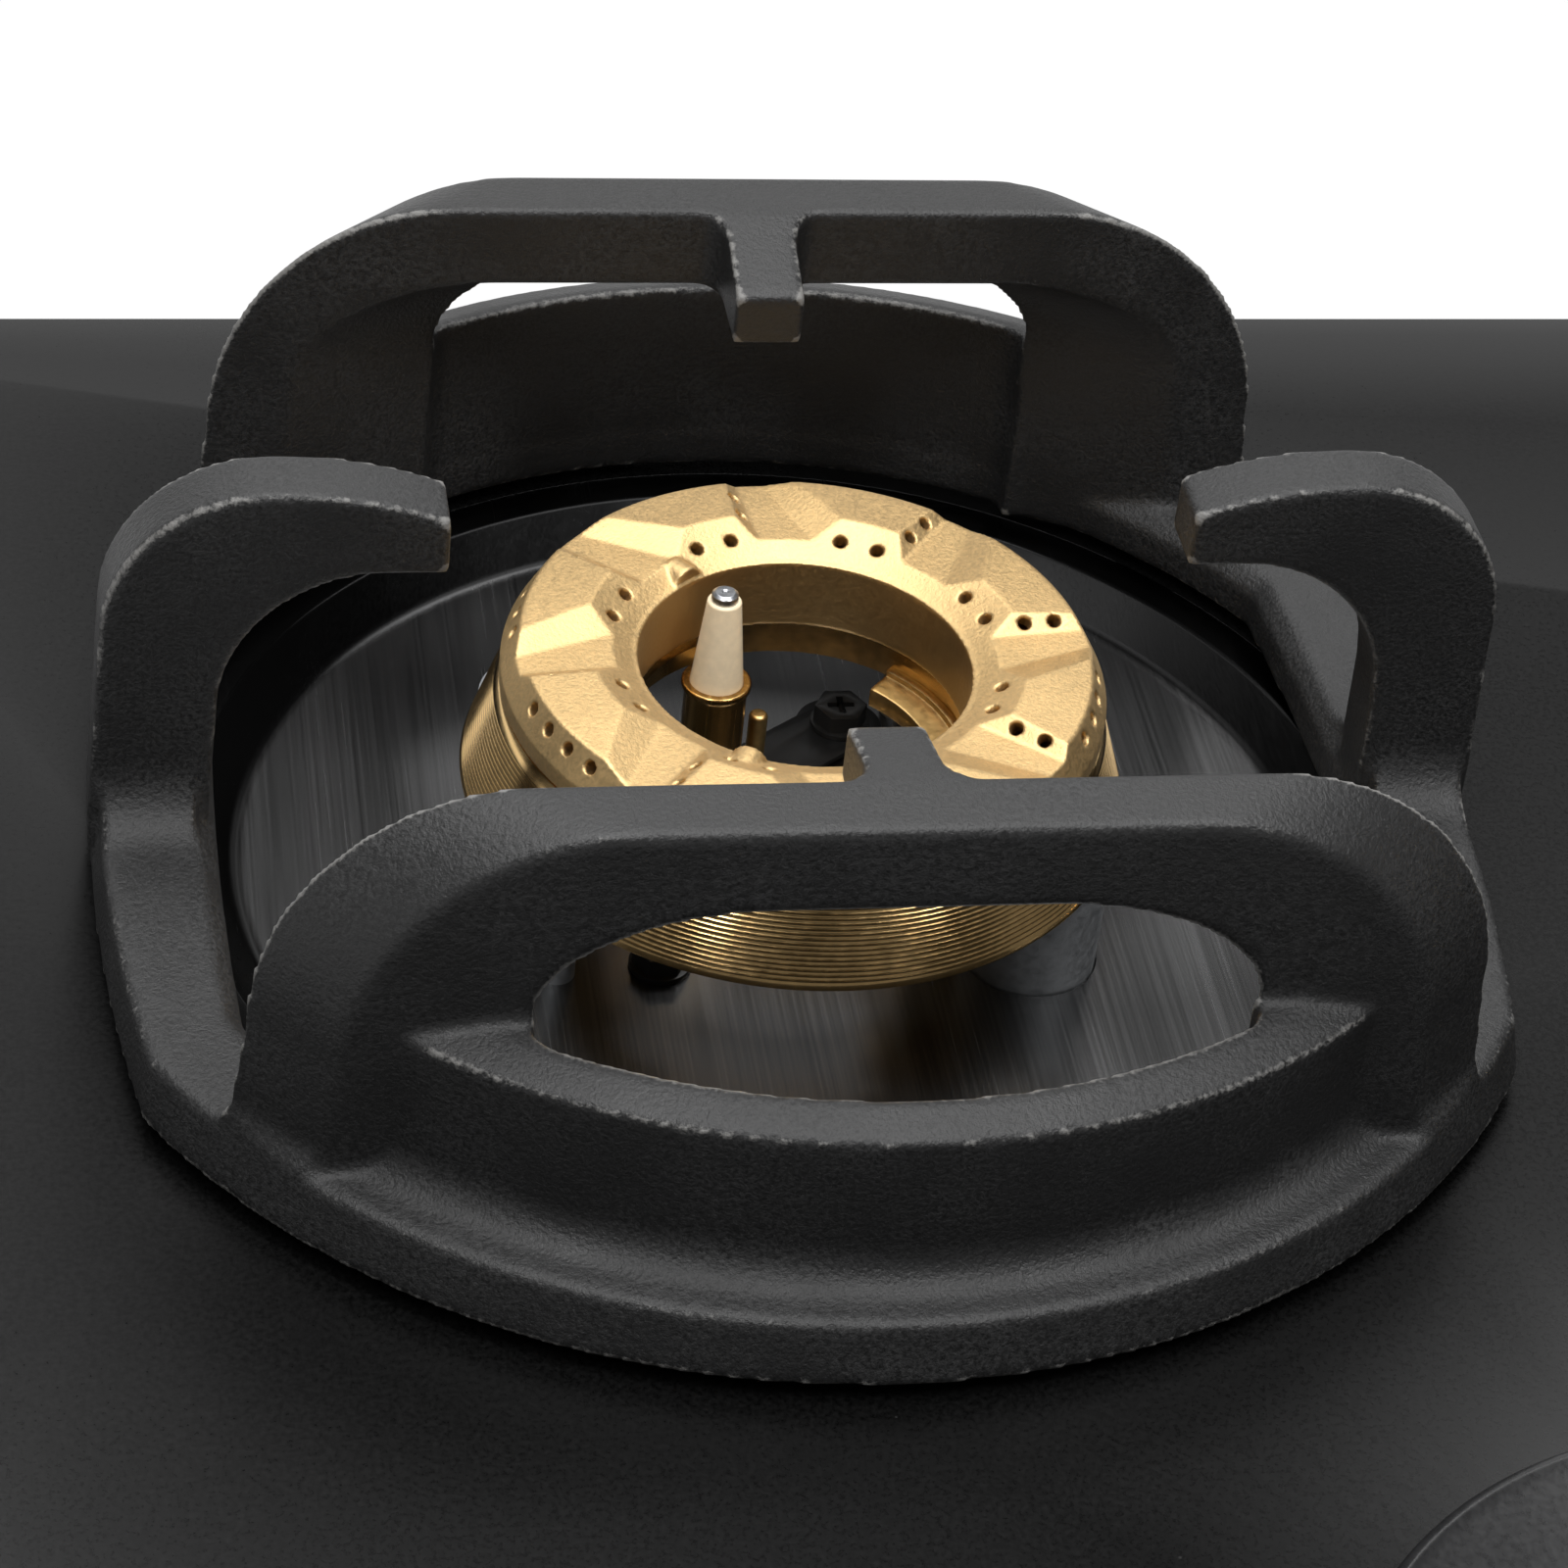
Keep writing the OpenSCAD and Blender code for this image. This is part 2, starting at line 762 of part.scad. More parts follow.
module pan_support(side) {
  color("#202124") at_burner(side) difference() {
    union() {
      base_ring();
      for (turn = [0, 180]) rotate([0, 0, turn]) {
        arch();
        side_hook();
      }
    }
    pad_places() cylinder(r = pad_peg_r + run_fit, h = pad_t + pad_peg_l + gap, $fn = small_fn);
  }
}

module pad_places() {
  for (a = [45:90:315]) rotate([0, 0, a]) translate([pad_circle_r, 0, 0]) children();
}

module support_pads(side) {
  color("#3a3a3a") at_burner(side) pad_places() {
    cylinder(r = pad_r, h = pad_t);
    cylinder(r = pad_peg_r, h = pad_t + pad_peg_l, $fn = small_fn);
  }
}

// Burner cap: a turned ring with petals, valleys and drilled ports
module cap_profile() {
  polygon([
    [cap_bore_r, body_seat], [cap_inner_wall_r, body_seat], [cap_inner_wall_r, cap_inner_z - cap_wall / 2],
    [cap_crown_r + cap_wall / 2, cap_top - cap_wall], [cap_edge_r - cap_wall, cap_top - cap_wall],
    [body_top_r - body_wall - gap - cap_skirt_w, cap_bevel_z - cap_wall / 2],
    [body_top_r - body_wall - gap - cap_skirt_w, cap_rim_z - cap_lip_h],
    [body_top_r - body_wall - gap, cap_rim_z - cap_lip_h], [body_top_r - body_wall - gap, cap_rim_z],
    [cap_r, cap_rim_z], [cap_r, cap_bevel_z], [cap_edge_r, cap_edge_z],
    [cap_crown_r, cap_top], [cap_lip_r, cap_inner_z + gap], [cap_bore_r, cap_inner_z]
  ]);
}

// A valley has a level floor, a steep side for two slot ports and a gentle side
module valley() {
  translate([cap_edge_r, 0, cap_top - valley_depth]) intersection() {
    valley_side(valley_w, valley_turn, valley_steep, 1);
    valley_side(0, valley_flare, valley_gentle, -1);
  }
}

// Room above the floor, bounded by one rising side
module valley_side(at, turn, slope, way) {
  rise = cap_top - cap_bevel_z;
  translate([0, at, 0]) rotate([0, 0, turn]) translate([-cap_r, 0, 0]) rotate([90, 0, 90])
    linear_extrude(2 * cap_r) polygon([
      [-way * cap_r, 0], [0, 0], [way * rise / tan(slope), rise], [-way * cap_r, rise]
    ]);
}

module port(angle, r, z, tilt) {
  rotate([0, 0, angle]) translate([r, 0, z]) rotate([0, tilt, 0])
    translate([0, 0, -2 * cap_wall]) cylinder(r = port_r, h = 4 * cap_wall, $fn = small_fn);
}

module petal_ports() {
  outer_r = cap_r + (cap_edge_r - cap_r) * outer_port_share;
  outer_z = cap_bevel_z + (cap_edge_z - cap_bevel_z) * outer_port_share;
  inner_r = (cap_lip_r + cap_crown_r) / 2;
  inner_z = (cap_inner_z + cap_top) / 2;
  outer_tilt = atan2(cap_edge_z - cap_bevel_z, cap_r - cap_edge_r);
  inner_tilt = atan2(cap_top - cap_inner_z, cap_crown_r - cap_lip_r);
  for (share = outer_port_shares) port(pitch_angle * share, outer_r, outer_z, outer_tilt);
  for (share = inner_port_shares) port(pitch_angle * share, inner_r, inner_z, -inner_tilt);
}

// Two ports square to the steep side of a valley
module slot_ports() {
  up = valley_depth / 2;
  for (share = slot_port_shares) {
    x = cap_crown_r + (cap_edge_r - cap_crown_r) * share;
    y = valley_w - (cap_edge_r - x) * tan(valley_turn) + up / tan(valley_steep);
    translate([x, y, cap_top - up]) rotate([0, 0, valley_turn]) rotate([valley_steep, 0, 0])
      translate([0, 0, -2 * cap_wall]) cylinder(r = port_r, h = 3 * cap_wall, $fn = small_fn);
  }
}

module burner_cap(side) {
  color("#c9a227") at_burner(side) {
    difference() {
      rotate_extrude() cap_profile();
      for (k = [0:petals - 1]) rotate([0, 0, k * pitch_angle]) {
        valley();
        petal_ports();
        slot_ports();
      }
    }
    for (a = nub_angles) rotate([0, 0, a]) nub();
  }
}

// Round-backed lug on the cap's inner rim
module nub() {
  translate([cap_bore_r + cap_lip_w / 2, 0, cap_inner_z - nub_sink]) rotate([0, 90, 0])
    cylinder(r = nub_w / 2, h = nub_l);
}

// Burner body: flared ring with turned grooves and the gas channel
module burner_body(side) {
  slope = [body_top_r - body_foot_r, body_top - body_z - foot_edge];
  start = [body_foot_r, body_z + foot_edge];
  step_share = (groove_last_share - groove_first_share) / grooves;
  groove_points = [for (i = [0:grooves - 1], half = [0, 1])
    let (p = start + slope * (groove_first_share + step_share * (i + half / 2)))
    half == 0 ? p : p - [groove_depth, 0]];
  color("#b8923a") at_burner(side) difference() {
    rotate_extrude() polygon(concat(
      [
        [body_bore_r, body_z + body_step], [body_inner_r + body_step_w, body_z + body_step],
        [body_inner_r + 2 * body_step_w, body_z], [body_foot_r - 2 * foot_edge, body_z], start
      ],
      groove_points,
      [
        start + slope * groove_last_share, start + slope, [body_top_r - body_wall, body_top],
        [body_top_r - body_wall, body_z + 2 * body_floor],
        [body_top_r - body_wall - body_floor, body_z + body_floor],
        [body_inner_r, body_z + body_floor], [body_inner_r, body_seat],
        [cap_bore_r + gap, body_seat], [cap_bore_r + gap, body_seat - 2 * lap],
        [body_bore_r, body_seat - 3 * lap]
      ]
    ));
    for (a = riser_angles) rotate([0, 0, a]) translate([riser_circle_r, 0, body_z - lap])
      cylinder(r = riser_bore_r, h = body_floor + 2 * lap);
  }
}

// Burner base: cast ring with risers, posts, mixing tube and the injector's yoke
module burner_base(side) {
  axis_z = mix_z - top_z;
  color("#8d9094") at_burner(side) difference() {
    union() {
      translate([0, 0, base_z]) cylinder(r = base_r, h = base_h);
      for (a = riser_angles) rotate([0, 0, a]) translate([riser_circle_r, 0, -tray_under - lap])
        cylinder(r = riser_r, h = body_z + tray_under + lap);
      for (a = post_angles) rotate([0, 0, a]) translate([post_circle_r, 0, -tray_under - lap])
        cylinder(r = post_r, h = body_z + tray_under + lap);
      translate([0, -base_bore_r - lap, axis_z]) rotate([90, 0, 0])
        cylinder(r = mixer_r, h = mixer_reach - base_bore_r - lap);
      translate([-mixer_r, -base_r, axis_z]) cube([2 * mixer_r, base_r - base_bore_r, base_z - axis_z + lap]);
      injector_yoke(axis_z);
    }
    translate([0, 0, axis_z - mixer_r - lap]) cylinder(r = base_bore_r, h = base_h + mixer_r - base_z);
    for (a = riser_angles) rotate([0, 0, a]) translate([riser_circle_r, 0, base_z / 2])
      cylinder(r = riser_bore_r, h = body_z - base_z / 2 + lap);
    for (spot = screw_spots) translate([spot[0], spot[1], -tray_under - screw_l])
      cylinder(r = screw_r, h = screw_l + lap, $fn = small_fn);
    translate([0, -base_r, axis_z]) rotate([90, 0, 0]) cylinder(r = mixer_bore_r, h = mixer_reach);
    translate([0, -mixer_reach - air_gap + lap, axis_z]) rotate([90, 0, 0])
      cylinder(r = nozzle_r, h = holder_t + 2 * lap);
  }
}

module injector_yoke(axis_z) {
  half = mixer_r + holder_arm_w;
  for (x = [-half, mixer_r]) translate([x, -holder_y, axis_z - mixer_r / 2])
    cube([holder_arm_w, holder_y - mixer_reach + 2 * holder_arm_w, mixer_r]);
  translate([-half, -holder_y, axis_z - mixer_r / 2]) cube([2 * half, holder_t, mixer_r]);
  translate([0, -holder_y + holder_t, axis_z]) rotate([90, 0, 0]) cylinder(r = mixer_r - lap, h = holder_t);
  translate([-half, -mixer_reach, axis_z - mixer_r / 2])
    cube([2 * half, 2 * holder_arm_w, mixer_r]);
}

module drip_tray(side) {
  color("#3c3e41") at_burner(side) difference() {
    rotate_extrude() polygon([
      [0, -tray_under], [tray_floor_r, -tray_under], [tray_well_r, 0], [tray_r, 0],
      [tray_r, tray_t], [tray_well_r - tray_t / 2, tray_t], [tray_floor_r - tray_t / 2, -tray_depth],
      [0, -tray_depth]
    ]);
    for (a = riser_angles) rotate([0, 0, a]) translate([riser_circle_r, 0, -tray_under - lap])
      cylinder(r = riser_r + gap, h = tray_t + 2 * lap);
    for (a = post_angles) rotate([0, 0, a]) translate([post_circle_r, 0, -tray_under - lap])
      cylinder(r = post_r + gap, h = tray_t + 2 * lap, $fn = small_fn);
    for (spot = screw_spots) translate([spot[0], spot[1], -tray_under - lap])
      cylinder(r = screw_r + gap, h = tray_t + 2 * lap, $fn = small_fn);
    translate([electrode_at[0], electrode_at[1], -tray_under - lap])
      cylinder(r = electrode_hole_r, h = tray_t + 2 * lap, $fn = small_fn);
    translate([probe_at[0], probe_at[1], -tray_under - lap])
      cylinder(r = probe_r + gap, h = tray_t + 2 * lap, $fn = small_fn);
  }
}

module electrode_ceramic(side) {
  color("#d8d2c4") at_burner(side) translate([electrode_at[0], electrode_at[1], 0]) {
    translate([0, 0, -tray_under - electrode_foot])
      cylinder(r = ceramic_r, h = electrode_foot + tray_under + sleeve_top);
    translate([0, 0, sleeve_top])
      cylinder(r1 = ceramic_r, r2 = ceramic_tip_r, h = ceramic_top - sleeve_top);
  }
}

module electrode_tip(side) {
  color("#9a9da0") at_burner(side) translate([electrode_at[0], electrode_at[1], ceramic_top]) {
    cylinder(r = spark_r, h = spark_h * 2 / 3);
    translate([0, 0, spark_h * 2 / 3]) cylinder(r1 = spark_r, r2 = spark_r * 2 / 3, h = spark_h / 3);
  }
}

module electrode_sleeve(side) {
  bottom = -tray_depth + bracket_t;
  color("#b8923a") at_burner(side) translate([electrode_at[0], electrode_at[1], 0]) difference() {
    union() {
      translate([0, 0, bottom]) cylinder(r = ceramic_r + sleeve_wall, h = sleeve_top - bottom);
      for (z = [bottom, sleeve_top - sleeve_lip_h]) translate([0, 0, z])
        cylinder(r = ceramic_r + sleeve_wall + sleeve_lip_w, h = sleeve_lip_h);
    }
    translate([0, 0, bottom - lap]) cylinder(r = ceramic_r, h = sleeve_top - bottom + 2 * lap);
  }
}

module thermocouple(side) {
  color("#b0822e") at_burner(side) translate([probe_at[0], probe_at[1], 0]) {
    translate([0, 0, -tray_under - probe_foot])
      cylinder(r = probe_r, h = probe_foot + tray_under + probe_top, $fn = small_fn);
    translate([0, 0, bracket_t - tray_depth]) cylinder(r = collar_r, h = collar_h, $fn = small_fn);
  }
}

module electrode_bracket(side) {
  spot = screw_spots[0];
  reach = spot - electrode_at;
  length = norm(reach);
  color("#1b1b1c") at_burner(side) translate([0, 0, -tray_depth]) difference() {
    linear_extrude(bracket_t) {
      translate(electrode_at) rotate(atan2(reach[1], reach[0]))
        translate([0, bracket_t - bracket_w / 2]) square([length, bracket_w - 2 * bracket_t]);
      translate(electrode_at) circle(bracket_w / 2);
      translate(spot) circle(bracket_w / 2);
    }
    translate([electrode_at[0], electrode_at[1], -lap]) cylinder(r = ceramic_r, h = bracket_t + 2 * lap);
    translate([probe_at[0], probe_at[1], -lap])
      cylinder(r = probe_r, h = bracket_t + 2 * lap, $fn = small_fn);
    translate([spot[0], spot[1], -lap])
      cylinder(r = screw_r + gap, h = bracket_t + 2 * lap, $fn = small_fn);
  }
}

// Hex flange screw with a cross recess, its seat at the origin
module flange_screw(length) {
  head_z = head_flange_t + head_h;
  difference() {
    union() {
      cylinder(r = head_flange_r, h = head_flange_t);
      hex(head_r, head_z);
      translate([0, 0, -length]) cylinder(r = screw_r, h = length + lap, $fn = small_fn);
    }
    for (turn = [0, 90]) rotate([0, 0, turn]) translate([-cross_l / 2, -cross_w / 2, head_z - cross_depth])
      cube([cross_l, cross_w, cross_depth + lap]);
  }
}

module tray_screws() {
  color("#19191a") for (side = [-1, 1]) at_burner(side) {
    translate([screw_spots[0][0], screw_spots[0][1], bracket_t - tray_depth])
      flange_screw(screw_l - gap);
    translate([screw_spots[1][0], screw_spots[1][1], -tray_depth]) flange_screw(screw_l - gap);
  }
}

// Gas parts
module injector(side) {
  hex_y = burner_y - holder_y;
  color("#c4a04a") translate([side * burner_pitch / 2, 0, mix_z]) difference() {
    union() {
      translate([0, hex_y, 0]) rotate([90, 0, 0]) hex(injector_hex_r, injector_hex_l);
      translate([0, hex_y - injector_hex_l, 0]) rotate([90, 0, 0])
        cylinder(r = injector_tail_r, h = injector_tail_l);
      translate([0, hex_y - lap, 0]) rotate([-90, 0, 0]) cylinder(r = nozzle_r, h = holder_t + lap);
      translate([0, hex_y + holder_t, 0]) rotate([-90, 0, 0])
        cylinder(r1 = nozzle_r, r2 = nozzle_r / 2, h = nozzle_l - holder_t);
    }
    translate([0, injector_y - lap, 0]) rotate([-90, 0, 0])
      cylinder(r = pipe_r, h = injector_tail_l + lap);
  }
}

module gas_pipe(side) {
  start = [side * (knob_x + tap_r + outlet_l / 2), knob_y, mix_z];
  corner = [side * burner_pitch / 2, knob_y, mix_z];
  end = [side * burner_pitch / 2, injector_y + injector_tail_l, mix_z];
  color("#b9bcc0") pipe_run([start, corner, end], pipe_r, pipe_bend_r);
}

module tap_body(side) {
  outlet_x = tap_r + outlet_l;
  color("#a8905a") at_knob(side) difference() {
    union() {
      translate([0, 0, tap_z]) cylinder(r = tap_r, h = tap_h);
      translate([0, 0, mix_z]) rotate([0, side * 90, 0]) cylinder(r = outlet_r, h = outlet_x);
      translate([0, 0, mix_z]) rotate([-90, 0, 0]) cylinder(r = magnet_r, h = tap_r + magnet_l);
      translate([-saddle_w / 2, rail_y - knob_y, mix_z - rail_r - saddle_wall])
        cube([saddle_w, tap_r, 2 * (rail_r + saddle_wall)]);
    }
    translate([0, 0, tap_z + tap_floor]) cylinder(r = plug_r + run_fit, h = tap_h);
    translate([side * (tap_r + outlet_l / 2), 0, mix_z]) rotate([0, side * 90, 0])
      cylinder(r = pipe_r, h = outlet_l);
    translate([-saddle_w, rail_y - knob_y, mix_z]) rotate([0, 90, 0])
      cylinder(r = rail_r, h = 2 * saddle_w);
  }
}

module tap_bonnets() {
  color("#c8c9cb") for (side = [-1, 1]) at_knob(side) translate([0, 0, tap_z + tap_h]) difference() {
    union() {
      cylinder(r = bonnet_r, h = bonnet_t);
      cylinder(r = stem_r + 4 * lap, h = 3 * bonnet_t);
    }
    translate([0, 0, -lap]) cylinder(r = stem_hole_r, h = 4 * bonnet_t);
  }
}

module stem_section(grow) {
  difference() {
    circle(stem_r + grow);
    translate([-stem_r - lap, stem_flat + grow]) square([2 * (stem_r + lap), stem_r + lap]);
  }
}

module tap_plug(side) {
  color("#d2b36a") at_knob(side) difference() {
    translate([0, 0, plug_z]) cylinder(r = plug_r, h = plug_h);
    translate([0, 0, stem_z - knob_push - gap]) linear_extrude(plug_h) stem_section(run_fit);
  }
}

module tap_stem(side) {
  color("#d0d2d5") at_knob(side) translate([0, 0, stem_z])
    linear_extrude(knob_z + stem_grip - stem_z) stem_section(0);
}

module knob(side) {
  edge = knob_edge;
  dish = knob_hollow;
  color("#1d1e20") at_knob(side) translate([0, 0, knob_z]) difference() {
    rotate_extrude() polygon(concat(
      [[0, 0], [knob_r, 0], [knob_r, edge], [knob_top_r, knob_h - edge]],
      bend([knob_top_r - edge, knob_h - edge], edge, edge, 0, 90, 5),
      [[knob_top_r - 2 * edge, knob_h - dish], [0, knob_h - dish]]
    ));
    translate([0, 0, -lap]) rotate_extrude() polygon([
      [stem_r + hub_wall, 0], [knob_r - 2 * hub_wall, 0],
      [knob_top_r - 2 * hub_wall, stem_grip], [stem_r + hub_wall, stem_grip]
    ]);
    translate([0, 0, -lap]) linear_extrude(stem_grip + lap) stem_section(0);
    translate([-pointer_w / 2, knob_top_r / 2, knob_h - 2 * dish]) cube([pointer_w, knob_top_r, edge + dish]);
  }
}

module knob_dish(side) {
  color("#26272a") at_knob(side) translate([0, 0, top_z]) difference() {
    rotate_extrude() polygon(concat(
      [[0, 0], [bezel_r, 0]],
      bend([bezel_r - bezel_rim_w / 2, bezel_t / 2], bezel_rim_w / 2, bezel_rim_h - bezel_t / 2, 0, 90, 6),
      [[bezel_r - bezel_rim_w, bezel_t], [0, bezel_t]]
    ));
    translate([0, 0, -lap]) cylinder(r = stem_r + 4 * lap + gap, h = bezel_t + 2 * lap);
  }
}

module tap_switches() {
  color("#202225") for (side = [-1, 1]) at_knob(side)
    translate([-switch_w / 2, -tap_r - switch_l, mix_z + rail_r + saddle_wall]) {
      cube([switch_w, switch_l, switch_h]);
      translate([switch_w / 3, switch_l / 2, switch_h])
        cube([switch_w / 3, switch_l / 4, lap]);
    }
}

module gas_rail() {
  back = case_d / 2 - case_t - inlet_hex_t;
  color("#a9adb2") pipe_run([
    [rail_left, rail_y, mix_z], [rail_right, rail_y, mix_z], [rail_right, back, mix_z]
  ], rail_r, pipe_bend_r);
}

module gas_inlet() {
  wall = case_d / 2;
  color("#c4a04a") translate([rail_right, 0, mix_z]) difference() {
    union() {
      translate([0, wall - case_t, 0]) rotate([90, 0, 0]) hex(inlet_hex_r, inlet_hex_t);
      translate([0, wall - case_t - lap, 0]) rotate([-90, 0, 0])
        cylinder(r = inlet_r - gap, h = nut_t + case_t + lap);
      translate([0, wall + nut_t, 0]) rotate([-90, 0, 0]) cylinder(r = inlet_r, h = inlet_l - nut_t);
    }
    translate([0, wall - case_t + lap, 0]) rotate([-90, 0, 0])
      cylinder(r = rail_r - lap, h = inlet_l + 2 * lap);
  }
}

module inlet_nut() {
  color("#b9bcc0") translate([rail_right, case_d / 2, mix_z]) rotate([-90, 0, 0]) difference() {
    hex(inlet_hex_r, nut_t);
    translate([0, 0, -lap]) cylinder(r = inlet_r - gap, h = nut_t + 2 * lap);
  }
}

// Sheet clips that carry the gas rail on the case's floor
module rail_clips() {
  rise = mix_z - floor_z;
  for (x = [rail_left + clip_w / 2, 0, rail_right - 3 * pipe_bend_r]) color("#9ea2a6")
    translate([x - clip_w / 2, rail_y, 0]) difference() {
      union() {
        translate([0, -rail_r - clip_t, floor_z]) cube([clip_w, 2 * (rail_r + clip_t), rise]);
        translate([0, -rail_r - clip_foot, floor_z]) cube([clip_w, 2 * (rail_r + clip_foot), clip_t]);
      }
      translate([-lap, -rail_r, floor_z + clip_t])
        cube([clip_w + 2 * lap, 2 * rail_r, rise - rail_r - 2 * clip_t]);
      translate([-lap, 0, mix_z]) rotate([0, 90, 0]) cylinder(r = rail_r, h = clip_w + 2 * lap);
    }
}

// Case
module bottom_case() {
  color("#8f9296") difference() {
    union() {
      translate([0, 0, foot_h]) rounded_slab(case_w, case_d, case_h, case_corner_r);
      translate([0, 0, under_z - case_t])
        rounded_slab(case_w + 2 * flange_w, case_d + 2 * flange_w, case_t, case_corner_r + flange_w);
      lid_guides();
    }
    translate([0, 0, floor_z])
      rounded_slab(case_w - 2 * case_t, case_d - 2 * case_t, case_h, case_corner_r - case_t);
    translate([rail_right, case_d / 2 - 2 * case_t, mix_z]) rotate([-90, 0, 0])
      cylinder(r = inlet_r + gap, h = 4 * case_t);
    translate([-battery_l / 2, battery_y - battery_r, foot_h - lap])
      cube([battery_l, 2 * battery_r, case_t + 2 * lap]);
    vents();
  }
}

module vents() {
  for (side = [-1, 1], row = [-1, 1], i = [0:vent_count - 1]) {
    x = side * burner_pitch / 2 + (i - (vent_count - 1) / 2) * vent_pitch - vent_w / 2;
    y = burner_y + row * (support_half + support_foot + vent_l) - vent_l / 2 - (row + 1) * vent_l / 4;
    translate([x, y, foot_h - lap]) cube([vent_w, vent_l, case_t + 2 * lap]);
  }
}

module lid_guides() {
  drop = lid_t + 2 * gap;
  for (s = [-1, 1]) translate([-lid_l / 2, battery_y + s * (lid_w / 2 + gap + lid_guide_w / 2), 0]) {
    translate([0, -lid_guide_w / 2, foot_h - drop - lid_guide_w])
      cube([lid_l, lid_guide_w, drop + lid_guide_w + lap / 2]);
    translate([0, -lid_guide_w / 2 - (s + 1) * lid_guide_w, foot_h - drop - lid_guide_w])
      cube([lid_l, 3 * lid_guide_w, lid_guide_w]);
  }
}

module battery_lid() {
  color("#2a2b2e") translate([0, battery_y, foot_h - gap - lid_t]) difference() {
    translate([-lid_l / 2, -lid_w / 2, 0]) cube([lid_l, lid_w, lid_t]);
    for (i = [0:3]) translate([lid_l / 2 - (4 * i + 6) * ridge_w, -lid_w / 4, -lap])
      cube([ridge_w, lid_w / 2, lap + lid_t / 3]);
  }
}

module battery_box() {
  inner_h = 2 * battery_r + 2 * gap;
  end = battery_l / 2 + battery_nub_l + gap;
  color("#26282b") translate([0, battery_y, floor_z]) difference() {
    translate([-end - box_wall, -battery_r - box_wall - gap, 0])
      cube([2 * (end + box_wall), 2 * (battery_r + box_wall + gap), inner_h + box_wall]);
    translate([-end, -battery_r - gap, -lap]) cube([2 * end, 2 * (battery_r + gap), inner_h + lap]);
  }
}

module battery() {
  color("#4b5157") translate([-battery_l / 2, battery_y, foot_h + gap + battery_r]) rotate([0, 90, 0]) {
    cylinder(r = battery_r, h = battery_l);
    translate([0, 0, battery_l - lap]) cylinder(r = battery_nub_r, h = battery_nub_l + lap);
  }
}

module igniter_module() {
  color("#e4e4e0") translate([0, module_y, floor_z]) {
    translate([-module_w / 2, -module_l / 2, 0]) cube([module_w, module_l, module_h]);
    for (i = [-2, -1, 1, 2])
      translate([i * module_w / 6 - module_rib_w / 2, -module_l / 2 + lap, module_h - lap])
        cube([module_rib_w, module_l - 2 * lap, 2 * lap]);
    for (side = [-1, 1]) translate([side * (module_w / 2 - lap), 0, wire_rise])
      rotate([0, side * 90, 0]) cylinder(r = tower_r, h = tower_l + lap);
  }
}

module ignition_leads() {
  color("#b8372c") for (side = [-1, 1]) {
    x = side * burner_pitch / 2 + electrode_at[0];
    y = burner_y + electrode_at[1];
    top = top_z - tray_under - electrode_foot;
    pipe_run([
      [x, y, top], [x, y, wire_z], [x, module_y, wire_z], [side * (module_w / 2 + tower_l), module_y, wire_z]
    ], wire_r, wire_bend_r);
  }
}

module thermocouple_leads() {
  low_z = wire_z + 3 * wire_r + 3 * lap;
  turn_y = burner_y - support_half / 3;
  end_y = knob_y + tap_r + magnet_l;
  color("#b87333") for (side = [-1, 1]) {
    x = side * burner_pitch / 2 + probe_at[0];
    pipe_run([
      [x, burner_y + probe_at[1], top_z - tray_under - probe_foot],
      [x, burner_y + probe_at[1], low_z], [x, turn_y, low_z], [side * knob_x, turn_y, low_z],
      [side * knob_x, end_y + 4 * wire_bend_r, low_z], [side * knob_x, end_y + 4 * wire_bend_r, mix_z],
      [side * knob_x, end_y, mix_z]
    ], wire_r * 2 / 3, wire_bend_r);
  }
}

// Wires of the two switches and of the battery
module wiring_harness() {
  front = knob_y - tap_r - switch_l / 2;
  lane = module_w / 2 - 4 * wire_r;
  start_z = mix_z + rail_r + saddle_wall + switch_h / 2;
  box_top = floor_z + 2 * battery_r + 2 * gap + box_wall;
  color("#33363a") for (side = [-1, 1]) {
    x = side * knob_x;
    pipe_run([
      [x - side * switch_w / 2, front, start_z], [side * lane, front, start_z],
      [side * lane, module_y, start_z], [side * lane, module_y, floor_z + module_h]
    ], wire_r, wire_bend_r);
  }
  color("#33363a") pipe_run([
    [0, battery_y, box_top], [0, battery_y, box_top + 2 * wire_bend_r],
    [0, module_y, box_top + 2 * wire_bend_r], [0, module_y, floor_z + module_h]
  ], wire_r, wire_bend_r);
}

module case_feet() {
  color("#2d2d2d") for (x = [-1, 1], y = [-1, 1])
    translate([x * (case_w / 2 - feet_inset), y * (case_d / 2 - feet_inset), 0])
      cylinder(r1 = foot_r - lap, r2 = foot_r, h = foot_h);
}

// Pressed rails that carry the burner bases
module burner_rails() {
  top = top_z + base_z;
  h = top - floor_z;
  outline = [
    [-support_half - support_foot, 0], [-support_half - support_foot, support_t],
    [-support_half - support_t, support_t], [-support_half - support_t, h], [support_half + support_t, h],
    [support_half + support_t, support_t], [support_half + support_foot, support_t],
    [support_half + support_foot, 0], [support_half, 0], [support_half, h - support_t],
    [-support_half, h - support_t], [-support_half, 0]
  ];
  color("#9ea2a6") for (side = [-1, 1], s = [-1, 1])
    translate([side * burner_pitch / 2 + s * support_gap, burner_y, floor_z])
      cross_extrude(support_w) polygon(outline);
}

module case_screws() {
  color("#b4b7ba") for (side = [-1, 1], s = [-1, 1], end = [-1, 1])
    translate([side * burner_pitch / 2 + s * support_gap,
      burner_y + end * (support_half + support_foot / 2), floor_z + support_t]) pan_head();
}

module pan_head() {
  cylinder(r = 2 * foot_screw_r, h = foot_screw_r, $fn = small_fn);
}

